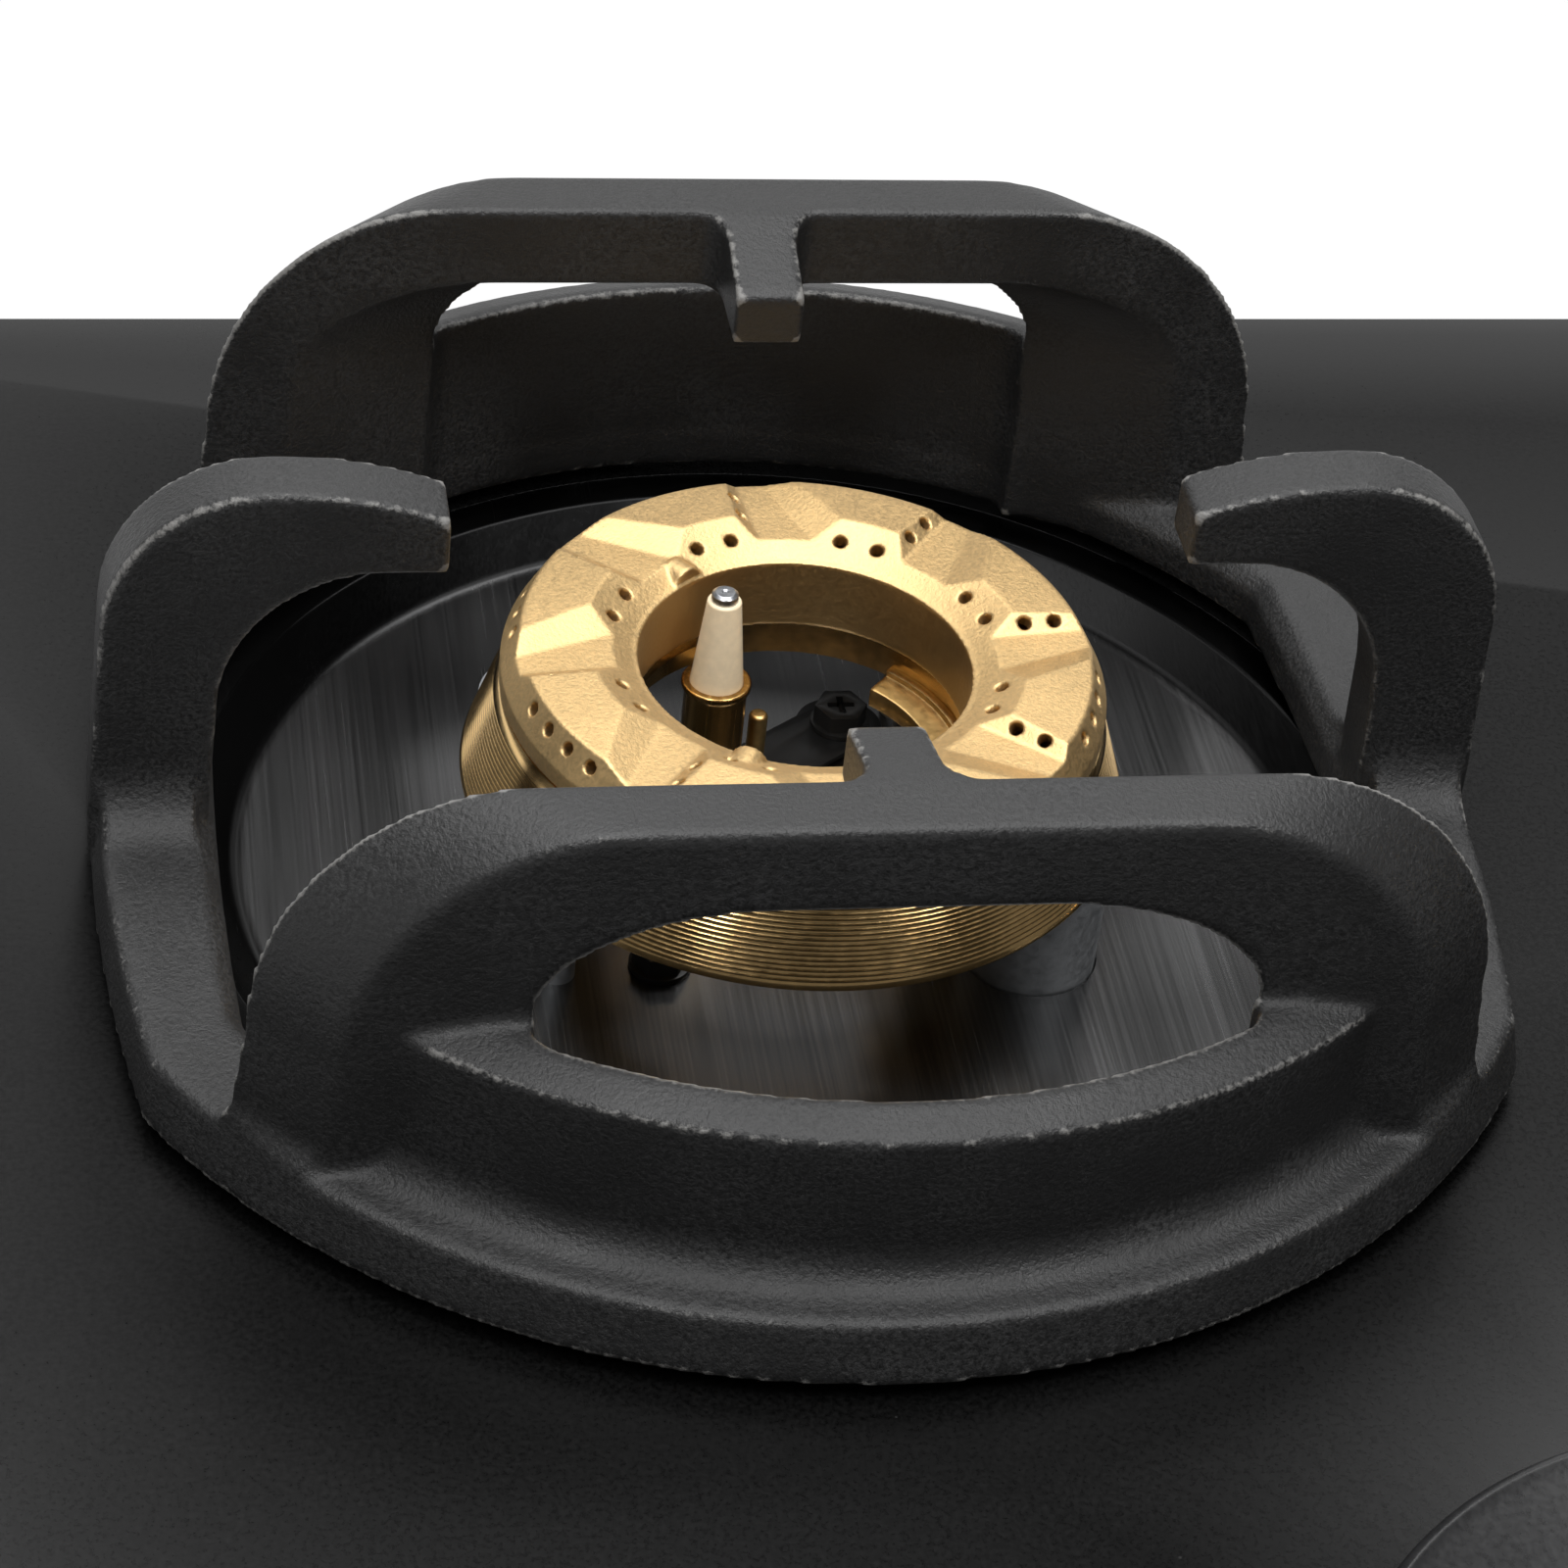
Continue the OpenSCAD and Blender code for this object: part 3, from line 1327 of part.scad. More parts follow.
module worktop_clamps() {
  color("#a9adb2") for (x = [-1, 1], y = [-1, 1])
    translate([x * case_w / 2, y * clamp_y, clamp_z]) difference() {
      union() {
        translate([x > 0 ? 0 : -clamp_t, -clamp_w / 2, 0]) cube([clamp_t, clamp_w, clamp_rise]);
        translate([x > 0 ? 0 : -clamp_reach, -clamp_w / 2, 0]) cube([clamp_reach, clamp_w, clamp_t]);
      }
      translate([x * clamp_reach / 2, 0, -lap]) cylinder(r = clamp_screw_r, h = clamp_t + 2 * lap);
    }
}

module clamp_screws() {
  color("#c4c7ca") for (x = [-1, 1], y = [-1, 1])
    translate([x * (case_w / 2 + clamp_reach / 2), y * clamp_y, clamp_z - clamp_pad_r]) {
      cylinder(r = clamp_screw_r, h = clamp_screw_l);
      hex(2 * clamp_screw_r, clamp_pad_r - lap);
      translate([0, 0, clamp_screw_l]) cylinder(r = clamp_pad_r, h = clamp_t);
    }
}

glass_top();
glass_seal();
bottom_case();
case_feet();
case_screws();
burner_rails();
pan_support(-1);  // left_pan_support
pan_support(1);  // right_pan_support
support_pads(-1);  // left_support_pads
support_pads(1);  // right_support_pads
burner_cap(-1);  // left_burner_cap
burner_cap(1);  // right_burner_cap
burner_body(-1);  // left_burner_body
burner_body(1);  // right_burner_body
burner_base(-1);  // left_burner_base
burner_base(1);  // right_burner_base
drip_tray(-1);  // left_drip_tray
drip_tray(1);  // right_drip_tray
electrode_ceramic(-1);  // left_electrode_ceramic
electrode_ceramic(1);  // right_electrode_ceramic
electrode_tip(-1);  // left_electrode_tip
electrode_tip(1);  // right_electrode_tip
electrode_sleeve(-1);  // left_electrode_sleeve
electrode_sleeve(1);  // right_electrode_sleeve
thermocouple(-1);  // left_thermocouple
thermocouple(1);  // right_thermocouple
electrode_bracket(-1);  // left_electrode_bracket
electrode_bracket(1);  // right_electrode_bracket
tray_screws();
injector(-1);  // left_injector
injector(1);  // right_injector
gas_pipe(-1);  // left_gas_pipe
gas_pipe(1);  // right_gas_pipe
tap_body(-1);  // left_tap_body
tap_body(1);  // right_tap_body
tap_bonnets();
tap_plug(-1);  // left_tap_plug
tap_plug(1);  // right_tap_plug
tap_stem(-1);  // left_tap_stem
tap_stem(1);  // right_tap_stem
knob(-1);  // left_knob
knob(1);  // right_knob
knob_dish(-1);  // left_knob_dish
knob_dish(1);  // right_knob_dish
tap_switches();
gas_rail();
rail_clips();
gas_inlet();
inlet_nut();
ignition_leads();
thermocouple_leads();
wiring_harness();
igniter_module();
battery_box();
battery();
battery_lid();
worktop_clamps();
clamp_screws();
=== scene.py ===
import math

import bpy
import numpy as np
from mathutils import Matrix, Vector


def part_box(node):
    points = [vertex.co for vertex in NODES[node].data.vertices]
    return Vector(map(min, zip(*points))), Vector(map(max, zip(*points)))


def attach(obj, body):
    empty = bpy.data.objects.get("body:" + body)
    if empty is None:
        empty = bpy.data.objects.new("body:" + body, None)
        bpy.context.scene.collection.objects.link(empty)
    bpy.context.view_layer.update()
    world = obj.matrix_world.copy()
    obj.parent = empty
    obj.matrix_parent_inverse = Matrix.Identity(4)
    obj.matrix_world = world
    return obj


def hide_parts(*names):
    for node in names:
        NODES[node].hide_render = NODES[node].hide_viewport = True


bl_info = {
    "name": "Gas Hob Looks",
    "version": (1, 0, 0),
    "blender": (4, 5, 0),
    "location": "View3D > Sidebar > Gas Hob",
    "description": "Finished pieces, finishes and a plain stage for a two-burner gas hob",
    "category": "Object",
}

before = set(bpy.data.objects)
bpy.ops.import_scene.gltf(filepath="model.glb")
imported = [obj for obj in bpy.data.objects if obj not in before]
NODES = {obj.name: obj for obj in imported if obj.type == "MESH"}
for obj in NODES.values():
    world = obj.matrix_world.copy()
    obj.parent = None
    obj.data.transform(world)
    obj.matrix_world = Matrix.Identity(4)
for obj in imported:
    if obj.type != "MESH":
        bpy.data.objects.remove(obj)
SIDES = ("left", "right")
MM = 0.001

# Points closer than this are one, and faces that differ by less than this angle are flat
MERGE_GAP = 1e-6
FLAT_ANGLE = math.radians(0.5)

# Degrees up to which all edges of a cast piece are shaded smooth
SMOOTH_ALL = 180

# Least squared length of an edge, and the share of a side that one fillet may take
LEAST_SIDE = 1e-9
MOST_OF_SIDE = 0.48

HOLE_SIDES = 48

# Circle and degrees at which the two gas risers of a burner stand round its centre
RISER_CIRCLE = 44 * MM
RISER_TURNS = (-33, 150)

# The record's material slot of each node that keeps its own shape
NODE_FINISHES = {
    "glass_seal": "foam",
    "case_screws": "zinc_screws",
    "burner_rails": "zinc_sheet",
    "support_pads": "feet_rubber",
    "burner_base": "cast_aluminium",
    "injector": "tap_brass",
    "gas_pipe": "pipe_aluminium",
    "tap_body": "tap_brass",
    "tap_bonnets": "tap_steel",
    "tap_plug": "tap_brass",
    "tap_stem": "tap_steel",
    "tap_switches": "switch_plastic",
    "gas_rail": "rail_steel",
    "rail_clips": "zinc_sheet",
    "ignition_leads": "lead_red",
    "thermocouple_leads": "lead_copper",
    "wiring_harness": "lead_black",
    "igniter_module": "module_white",
    "battery_box": "switch_plastic",
    "battery": "battery_sleeve",
}


def hue(name, text, default):
    return bpy.props.FloatVectorProperty(
        name=name, description=text, default=default, subtype="COLOR", size=3, min=0, max=1)


def length(name, text, default):
    return bpy.props.FloatProperty(
        name=name, description=text, default=default, min=0, unit="LENGTH", subtype="DISTANCE")


def share(name, text, default):
    return bpy.props.FloatProperty(
        name=name, description=text, default=default, min=0, max=1, subtype="FACTOR")


def whole(name, text, default):
    return bpy.props.IntProperty(name=name, description=text, default=default, min=1)


def power(name, text, default):
    return bpy.props.FloatProperty(
        name=name, description=text, default=default, min=0, unit="POWER")


class HobSizes(bpy.types.PropertyGroup):
    casting_grid: length("Casting grid", "Grain of the mesh of a pan support", 0.85 * MM)
    casting_rounds: whole("Casting rounds", "Smoothing rounds that soften a pan support", 7)
    cap_grid: length("Cap grid", "Grain of the mesh of a burner cap", 0.36 * MM)
    cap_rounds: whole("Cap rounds", "Smoothing rounds that soften a burner cap", 2)
    most_faces: whole("Most triangles", "Triangles that a cast piece keeps", 190000)
    grooves: whole("Grooves", "Turned grooves round a burner body", 17)
    groove_depth: length("Groove depth", "Depth of a turned groove", 0.21 * MM)
    glass_edge: length("Glass edge", "Ground edge along the bevel of the glass", 0.35 * MM)
    sheet_bend: length("Sheet bend", "Radius of the pressed bends in a drip tray", 5 * MM)


class HobColours(bpy.types.PropertyGroup):
    iron: hue("Iron", "Enamelled cast iron of the pan supports", (0.0175, 0.0175, 0.0177))
    # Pale colour of convex casting edges: wear and a painted edge highlight
    wear_and_edge_highlight: hue("Worn edge", "Worn edges of the pan supports", (0.22, 0.215, 0.205))
    blasted: hue("Blasted brass", "Burner caps", (0.70, 0.49, 0.235))
    turned: hue("Turned brass", "Burner bodies", (0.90, 0.61, 0.27))
    glass: hue("Glass", "Satin black glass", (0.0025, 0.0025, 0.0025))
    steel: hue("Tray steel", "Brushed black steel of the drip trays", (0.19, 0.19, 0.191))
    ceramic: hue("Ceramic", "Electrode insulator", (0.95, 0.79, 0.55))
    plastic: hue("Knob plastic", "Knobs", (0.018, 0.018, 0.019))


class HobStage(bpy.types.PropertyGroup):
    floor: hue("Floor", "Pale floor", (0.80, 0.80, 0.795))
    key_watts: power("Key light", "Power of the wide lamp overhead", 16.0)
    back_watts: power("Back light", "Power of the wide lamp behind the hob", 15.0)
    side_watts: power("Side lights", "Power of each lamp beside the camera", 7.0)
    sky: share("Sky", "Brightness of the plain surroundings", 0.12)


def hob():
    """The sizes, the colours and the stage's values, as the panel shows them."""
    scene = bpy.context.scene
    return scene.hob_sizes, scene.hob_colours, scene.hob_stage


# Modelling helpers

def deselect():
    if bpy.context.object and bpy.context.object.mode != "OBJECT":
        bpy.ops.object.mode_set(mode="OBJECT")
    bpy.ops.object.select_all(action="DESELECT")


def only(piece):
    deselect()
    piece.select_set(True)
    bpy.context.view_layer.objects.active = piece


def editing(piece):
    only(piece)
    bpy.ops.object.mode_set(mode="EDIT")
    bpy.ops.mesh.select_all(action="SELECT")


def done_editing():
    bpy.ops.object.mode_set(mode="OBJECT")


def modified(piece, kind, **settings):
    """Adds a modifier and applies it."""
    only(piece)
    modifier = piece.modifiers.new(kind.title(), kind)
    for key, value in settings.items():
        setattr(modifier, key, value)
    bpy.ops.object.modifier_apply(modifier=modifier.name)
    return piece


def merged_copy(node, name):
    """A copy of a CAD node's mesh with its loose triangles merged."""
    piece = bpy.data.objects.new(name, NODES[node].data.copy())
    piece.data.name = name
    piece.data.materials.clear()
    bpy.context.scene.collection.objects.link(piece)
    editing(piece)
    bpy.ops.mesh.customdata_custom_splitnormals_clear()
    bpy.ops.mesh.remove_doubles(threshold=MERGE_GAP)
    done_editing()
    return piece


def eased_copy(node, name, width, angle=30, segments=2):
    """A merged copy whose sharp edges are eased by a small round."""
    piece = merged_copy(node, name)
    editing(piece)
    bpy.ops.mesh.dissolve_limited(angle_limit=FLAT_ANGLE)
    done_editing()
    modified(piece, "BEVEL", width=width, segments=segments, limit_method="ANGLE",
             angle_limit=math.radians(angle), harden_normals=False, use_clamp_overlap=True)
    return smoothed(piece)


def smoothed(piece, angle=32):
    only(piece)
    bpy.ops.object.shade_smooth_by_angle(angle=math.radians(angle), keep_sharp_edges=False)
    return piece


def twin(piece, name, shift):
    """A copy with a mesh of its own, moved by shift."""
    copy = bpy.data.objects.new(name, piece.data.copy())
    copy.data.name = name
    copy.data.transform(Matrix.Translation(shift))
    bpy.context.scene.collection.objects.link(copy)
    return copy


def placed(piece, finish, body, slot, *nodes):
    """Gives a piece its finish and its CAD body, and hides the nodes that it stands for; the slot is not
    used.
    """
    piece.data.materials.clear()
    piece.data.materials.append(finish)
    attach(piece, body)
    if nodes:
        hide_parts(*nodes)
    return piece


def middle(node):
    low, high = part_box(node)
    return (low + high) / 2


def upright(node):
    """The middle of a node's underside, half its width and its height."""
    low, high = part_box(node)
    centre = middle(node)
    return Vector((centre.x, centre.y, low.z)), (high.x - low.x) / 2, high.z - low.z


def burner_shift():
    return middle("right_drip_tray") - middle("left_drip_tray")


def risers(centre):
    """Where the two gas risers of a burner stand."""
    turns = [math.radians(turn) for turn in RISER_TURNS]
    return [(centre.x + RISER_CIRCLE * math.cos(turn), centre.y + RISER_CIRCLE * math.sin(turn))
            for turn in turns]


def pair(model, name, finish, slot, node, bodies=("hob", "hob")):
    """Places a piece made for the left burner, and its twin for the right one."""
    right = twin(model, f"right_{name}", burner_shift())
    for piece, side, body in ((model, "left", bodies[0]), (right, "right", bodies[1])):
        placed(piece, finish, body, slot, f"{side}_{node}")


def filleted(points, radii, steps=5):
    """Points of a profile with rounded corners; radii has one radius for each point."""
    made = []
    for i, (point, radius) in enumerate(zip(points, radii)):
        here = Vector(point)
        if radius <= 0 or i in (0, len(points) - 1):
            made.append(here)
            continue
        before = Vector(points[i - 1]) - here
        after = Vector(points[i + 1]) - here
        half = before.angle(after) / 2
        cut = min(radius / math.tan(half), MOST_OF_SIDE * min(before.length, after.length))
        start, end = here + before.normalized() * cut, here + after.normalized() * cut
        inward = (before.normalized() + after.normalized()).normalized()
        centre = here + inward * (cut / math.cos(half))
        arm, other = start - centre, end - centre
        sweep = arm.angle_signed(other)
        for k in range(steps + 1):
            turn = Matrix.Rotation(-sweep * k / steps, 2)
            made.append(centre + turn @ arm)
    return made


def turned(name, centre, profile, steps):
    """Turns a profile of (radius, height) points about the upright through centre."""
    deselect()
    start = Vector((centre[0] + profile[0][0], centre[1], centre[2] + profile[0][1]))
    bpy.ops.mesh.primitive_plane_add(size=MM, location=start)
    piece = bpy.context.object
    piece.name = piece.data.name = name
    bpy.ops.object.transform_apply(location=True, rotation=True, scale=True)
    editing(piece)
    bpy.ops.mesh.merge(type="CENTER")
    for here, there in zip(profile, profile[1:]):
        step = (there[0] - here[0], 0, there[1] - here[1])
        bpy.ops.mesh.extrude_region_move(TRANSFORM_OT_translate={"value": step})
    bpy.ops.mesh.select_all(action="SELECT")
    bpy.ops.mesh.spin(steps=steps, angle=2 * math.pi, center=tuple(centre), axis=(0, 0, 1))
    bpy.ops.mesh.select_all(action="SELECT")
    bpy.ops.mesh.remove_doubles(threshold=MERGE_GAP)
    bpy.ops.mesh.normals_make_consistent(inside=False)
    done_editing()
    return smoothed(piece)


def drilled(piece, places, radius, bottom, top):
    """Cuts round holes through a piece."""
    for x, y in places:
        deselect()
        bpy.ops.mesh.primitive_cylinder_add(
            vertices=HOLE_SIDES, radius=radius, depth=top - bottom, location=(x, y, (top + bottom) / 2))
        drill = bpy.context.object
        bpy.ops.object.transform_apply(location=True, rotation=True, scale=True)
        modified(piece, "BOOLEAN", operation="DIFFERENCE", solver="EXACT", object=drill)
        bpy.data.objects.remove(drill)
    return piece


def recast(piece, grid, rounds, most):
    """Softens every edge on a fine even mesh, then thins it out to that many triangles."""
    modified(piece, "REMESH", mode="VOXEL", voxel_size=grid, adaptivity=0)
    modified(piece, "SMOOTH", factor=0.5, iterations=rounds)
    triangles = 2 * len(piece.data.polygons)
    if triangles > most:
        modified(piece, "DECIMATE", decimate_type="COLLAPSE", ratio=most / triangles)
    return piece


def mark_edges(piece, rounds=4):
    """Writes how convex the surface is, in 1/mm, to the attribute that the pale edges read: wear and a
    painted edge highlight.
    """
    mesh = piece.data
    count = len(mesh.vertices)
    places = np.zeros(count * 3)
    mesh.vertices.foreach_get("co", places)
    places = places.reshape(-1, 3) / MM
    normals = np.zeros(count * 3, np.float32)
    mesh.vertex_normals.foreach_get("vector", normals)
    normals = normals.reshape(-1, 3)
    edges = np.zeros(len(mesh.edges) * 2, np.int32)
    mesh.edges.foreach_get("vertices", edges)
    one, two = edges.reshape(-1, 2).T
    links = np.maximum(np.bincount(one, minlength=count) + np.bincount(two, minlength=count), 1)

    def around(values):
        total = np.bincount(one, values[two], count) + np.bincount(two, values[one], count)
        return total / links

    mean = np.stack([around(places[:, k]) for k in range(3)], axis=1)
    spans = ((places[one] - places[two]) ** 2).sum(axis=1)
    reach = (np.bincount(one, spans, count) + np.bincount(two, spans, count)) / links
    bulge = 2 * ((places - mean) * normals).sum(axis=1) / np.maximum(reach, LEAST_SIDE)
    for _ in range(rounds):
        bulge = (bulge + around(bulge)) / 2
    return marked(piece, "bulge", bulge)


def marked(piece, name, values):
    """Writes one number for each point to an attribute that a finish reads."""
    attribute = piece.data.attributes.new(name, "FLOAT", "POINT")
    attribute.data.foreach_set("value", values.astype(np.float32))
    return piece


def point_values(piece, name):
    """The places or the normals of all points, one row for each."""
    return np.array([getattr(vertex, name) for vertex in piece.data.vertices])


# Finishes

class Finish:
    """A procedural finish: one Principled shader and the textures that feed it."""

    def __init__(self, name, colour, roughness, metallic=0.0, **shader):
        self.material = bpy.data.materials.new(name)
        self.material.use_nodes = True
        self.tree = self.material.node_tree
        self.shader = self.tree.nodes["Principled BSDF"]
        self.height = None
        self.set(self.shader, "Base Color", (*colour, 1))
        self.set(self.shader, "Roughness", roughness)
        self.set(self.shader, "Metallic", metallic)
        for key, value in shader.items():
            self.set(self.shader, key.replace("_", " ").title().replace("Ior", "IOR"), value)
        self.coords = self.add("ShaderNodeTexCoord").outputs["Object"]

    def add(self, kind, **settings):
        node = self.tree.nodes.new(kind)
        for key, value in settings.items():
            setattr(node, key, value)
        return node

    def set(self, node, socket, value):
        """Links an output to a socket, or writes a constant on it."""
        if isinstance(value, bpy.types.NodeSocket):
            self.tree.links.new(value, node.inputs[socket])
        else:
            node.inputs[socket].default_value = value

    def mapped(self, at=(0, 0, 0), stretch=(1, 1, 1)):
        node = self.add("ShaderNodeMapping")
        self.set(node, "Vector", self.coords)
        self.set(node, "Location", tuple(-a * s for a, s in zip(at, stretch)))
        self.set(node, "Scale", stretch)
        return node.outputs["Vector"]

    def noise(self, size, detail=3.0, vector=None, rough=0.5):
        """Noise whose blotches are about size metres across."""
        node = self.add("ShaderNodeTexNoise")
        self.set(node, "Vector", vector or self.coords)
        self.set(node, "Scale", 0.5 / size)
        self.set(node, "Detail", detail)
        self.set(node, "Roughness", rough)
        return node.outputs["Fac"]

    def cells(self, size):
        """Distance from the middle of cells that are about size metres across."""
        node = self.add("ShaderNodeTexVoronoi")
        self.set(node, "Vector", self.coords)
        self.set(node, "Scale", 1 / size)
        return node.outputs["Distance"]

    def span(self, value, low, high, to_low=0.0, to_high=1.0):
        """Stretches a value from one range to another, held at its ends."""
        node = self.add("ShaderNodeMapRange")
        self.set(node, "Value", value)
        ends = {"From Min": low, "From Max": high, "To Min": to_low, "To Max": to_high}
        for socket, number in ends.items():
            self.set(node, socket, number)
        return node.outputs["Result"]

    def math(self, operation, a, b=0.0):
        node = self.add("ShaderNodeMath", operation=operation)
        self.tree.links.new(a, node.inputs[0])
        if isinstance(b, bpy.types.NodeSocket):
            self.tree.links.new(b, node.inputs[1])
        else:
            node.inputs[1].default_value = b
        return node.outputs[0]

    def blend(self, amount, low, high):
        """Mixes two colours, or two outputs."""
        node = self.add("ShaderNodeMix", data_type="RGBA")
        self.tree.links.new(amount, node.inputs[0])
        for index, value in ((6, low), (7, high)):
            if isinstance(value, bpy.types.NodeSocket):
                self.tree.links.new(value, node.inputs[index])
            else:
                node.inputs[index].default_value = (*value[:3], 1)
        return node.outputs[2]

    def attribute(self, name):
        return self.add("ShaderNodeAttribute", attribute_name=name).outputs["Fac"]

    def rings(self, centre, size):
        """Noise that is the same all round a turned piece."""
        flat = self.mapped(at=(centre[0], centre[1], 0), stretch=(1, 1, 0))
        radius = self.add("ShaderNodeVectorMath", operation="LENGTH")
        self.tree.links.new(flat, radius.inputs[0])
        parts = self.add("ShaderNodeSeparateXYZ")
        self.set(parts, "Vector", self.coords)
        joined = self.add("ShaderNodeCombineXYZ")
        self.set(joined, "X", radius.outputs["Value"])
        self.set(joined, "Y", parts.outputs["Z"])
        return self.noise(size, detail=2.0, vector=joined.outputs["Vector"])

    def bump(self, height, depth, strength=1.0):
        """Adds a relief of that depth in metres on top of those before it."""
        node = self.add("ShaderNodeBump")
        self.set(node, "Height", height)
        self.set(node, "Distance", depth)
        self.set(node, "Strength", strength)
        if self.height:
            self.set(node, "Normal", self.height)
        self.height = node.outputs["Normal"]
        self.set(self.shader, "Normal", self.height)
        return self

    def colour(self, value):
        self.set(self.shader, "Base Color", value)
        return self

    def rough(self, value):
        self.set(self.shader, "Roughness", value)
        return self


# How far the grain takes a plain colour to either side
SPREAD = 0.25


def tone(colour, factor):
    """A colour made lighter or darker by a factor."""
    return tuple(min(1.0, c * factor) for c in colour)


def grainy(name, colour, roughness, metallic=0.0, size=0.6 * MM, depth=0.02 * MM):
    """A plain finish with a fine grain in its colour, gloss and relief."""
    finish = Finish(name, colour, roughness, metallic)
    grain = finish.noise(size)
    broad = finish.noise(40 * MM, detail=2.0)
    shade = finish.math(
        "ADD", finish.span(grain, 0.3, 0.7, 0, 0.5), finish.span(broad, 0.3, 0.7, 0, 0.5))
    finish.colour(finish.blend(shade, tone(colour, 1 - SPREAD), tone(colour, 1 + SPREAD)))
    finish.rough(finish.span(grain, 0.3, 0.7, roughness * 0.85, min(1.0, roughness * 1.15)))
    return finish.bump(grain, depth).material


def brushed(name, colour, roughness, along=(1, 0, 0)):
    """Metal with fine brush lines along one axis."""
    finish = Finish(name, colour, roughness, 1.0)
    stretch = tuple(0.02 if a else 1.0 for a in along)
    lines = finish.noise(0.35 * MM, detail=4.0, vector=finish.mapped(stretch=stretch))
    wide = finish.noise(2.2 * MM, detail=2.0, vector=finish.mapped(stretch=stretch))
    both = finish.math(
        "ADD", finish.math("MULTIPLY", lines, 0.7), finish.math("MULTIPLY", wide, 0.3))
    shade = finish.span(both, 0.35, 0.65)
    finish.colour(finish.blend(shade, tone(colour, 1 - SPREAD), tone(colour, 1 + SPREAD)))
    finish.rough(finish.span(both, 0.35, 0.65, roughness * 0.8, min(1.0, roughness * 1.25)))
    return finish.bump(lines, 0.012 * MM).material


def sand_cast_iron(colours):
    """Black enamelled cast iron with sandy grain, and a pale colour where the edges bulge that is partly
    wear and partly a painted edge highlight.
    """
    finish = Finish("black_cast_iron", colours.iron, 0.5, specular_ior_level=0.5)
    sand = finish.noise(0.36 * MM, detail=3.0, rough=0.7)
    pits = finish.cells(1.0 * MM)
    broad = finish.noise(9 * MM, detail=3.0)
    speck = finish.span(sand, 0.36, 0.64)
    # Pale edge colour from the bulge attribute: partly wear, partly a painted edge highlight
    wear_and_edge_highlight = finish.math("ADD", finish.attribute("bulge"), finish.span(sand, 0.3, 0.7, -0.07, 0.07))
    wear_and_edge_highlight = finish.math("ADD", wear_and_edge_highlight, finish.span(finish.noise(16 * MM), 0.3, 0.7, -0.05, 0.05))
    edge = finish.span(wear_and_edge_highlight, 0.24, 0.36)
    body = finish.blend(speck, tone(colours.iron, 0.25), tone(colours.iron, 2.1))
    body = finish.blend(finish.span(broad, 0.3, 0.7), tone(colours.iron, 0.85), body)
    finish.colour(finish.blend(finish.math("MULTIPLY", edge, 0.8), body, colours.wear_and_edge_highlight))
    finish.rough(finish.span(finish.math("ADD", sand, broad), 0.7, 1.3, 0.36, 0.60))
    finish.bump(broad, 0.14 * MM, 0.7)
    finish.bump(pits, 0.08 * MM, 0.6)
    return finish.bump(sand, 0.24 * MM).material


def blasted_brass(colours):
    """Sand-blasted brass, smoother where the bore attribute marks turned metal, and painted a little
    darker there as shade inside the bore.
    """
    finish = Finish("blasted_brass", colours.blasted, 0.45, 1.0)
    grain = finish.noise(0.35 * MM, detail=3.0, rough=0.7)
    broad = finish.noise(7 * MM, detail=3.0)
    shade = finish.math(
        "ADD", finish.span(broad, 0.3, 0.7, 0, 0.4), finish.span(grain, 0.35, 0.65, 0, 0.6))
    plain = finish.blend(shade, tone(colours.blasted, 0.82), tone(colours.blasted, 1.12))
    bore = finish.span(finish.attribute("bore"), 0, 1)
    # Painted shade: the bore is a tenth darker than the blasted faces
    finish.colour(finish.blend(bore, plain, tone(colours.blasted, 0.90)))
    dull = finish.span(grain, 0.3, 0.7, 0.42, 0.58)
    finish.rough(finish.math("SUBTRACT", dull, finish.math("MULTIPLY", bore, 0.10)))
    finish.bump(broad, 0.08 * MM, 0.5)
    relief = finish.math("MULTIPLY", grain, finish.span(bore, 0, 1, 1, 0.1))
    return finish.bump(relief, 0.10 * MM).material


def turned_brass(name, colours, centre):
    """Bright brass with lathe lines round the upright through centre."""
    finish = Finish(name, colours.turned, 0.24, 1.0)
    lines = finish.rings(centre, 0.20 * MM)
    grain = finish.noise(0.9 * MM)
    shade = finish.span(grain, 0.3, 0.7)
    finish.colour(finish.blend(shade, tone(colours.turned, 0.95), tone(colours.turned, 1.05)))
    finish.rough(finish.span(grain, 0.3, 0.7, 0.15, 0.21))
    return finish.bump(lines, 0.004 * MM).material


def satin_glass(colours):
    """Black glass with a satin grain and a few pale specks of dust."""
    finish = Finish("black_glass", colours.glass, 0.30, specular_ior_level=0.3)
    grain = finish.noise(0.45 * MM, detail=3.0, rough=0.7)
    broad = finish.noise(60 * MM, detail=2.0)
    dust = finish.span(finish.cells(14 * MM), 0.022, 0.014)
    shade = finish.span(grain, 0.35, 0.65)
    plain = finish.blend(shade, tone(colours.glass, 0.4), tone(colours.glass, 1.8))
    finish.colour(finish.blend(dust, plain, tone(colours.glass, 9)))
    finish.rough(finish.span(finish.math("ADD", grain, broad), 0.7, 1.3, 0.25, 0.33))
    return finish.bump(grain, 0.008 * MM).material


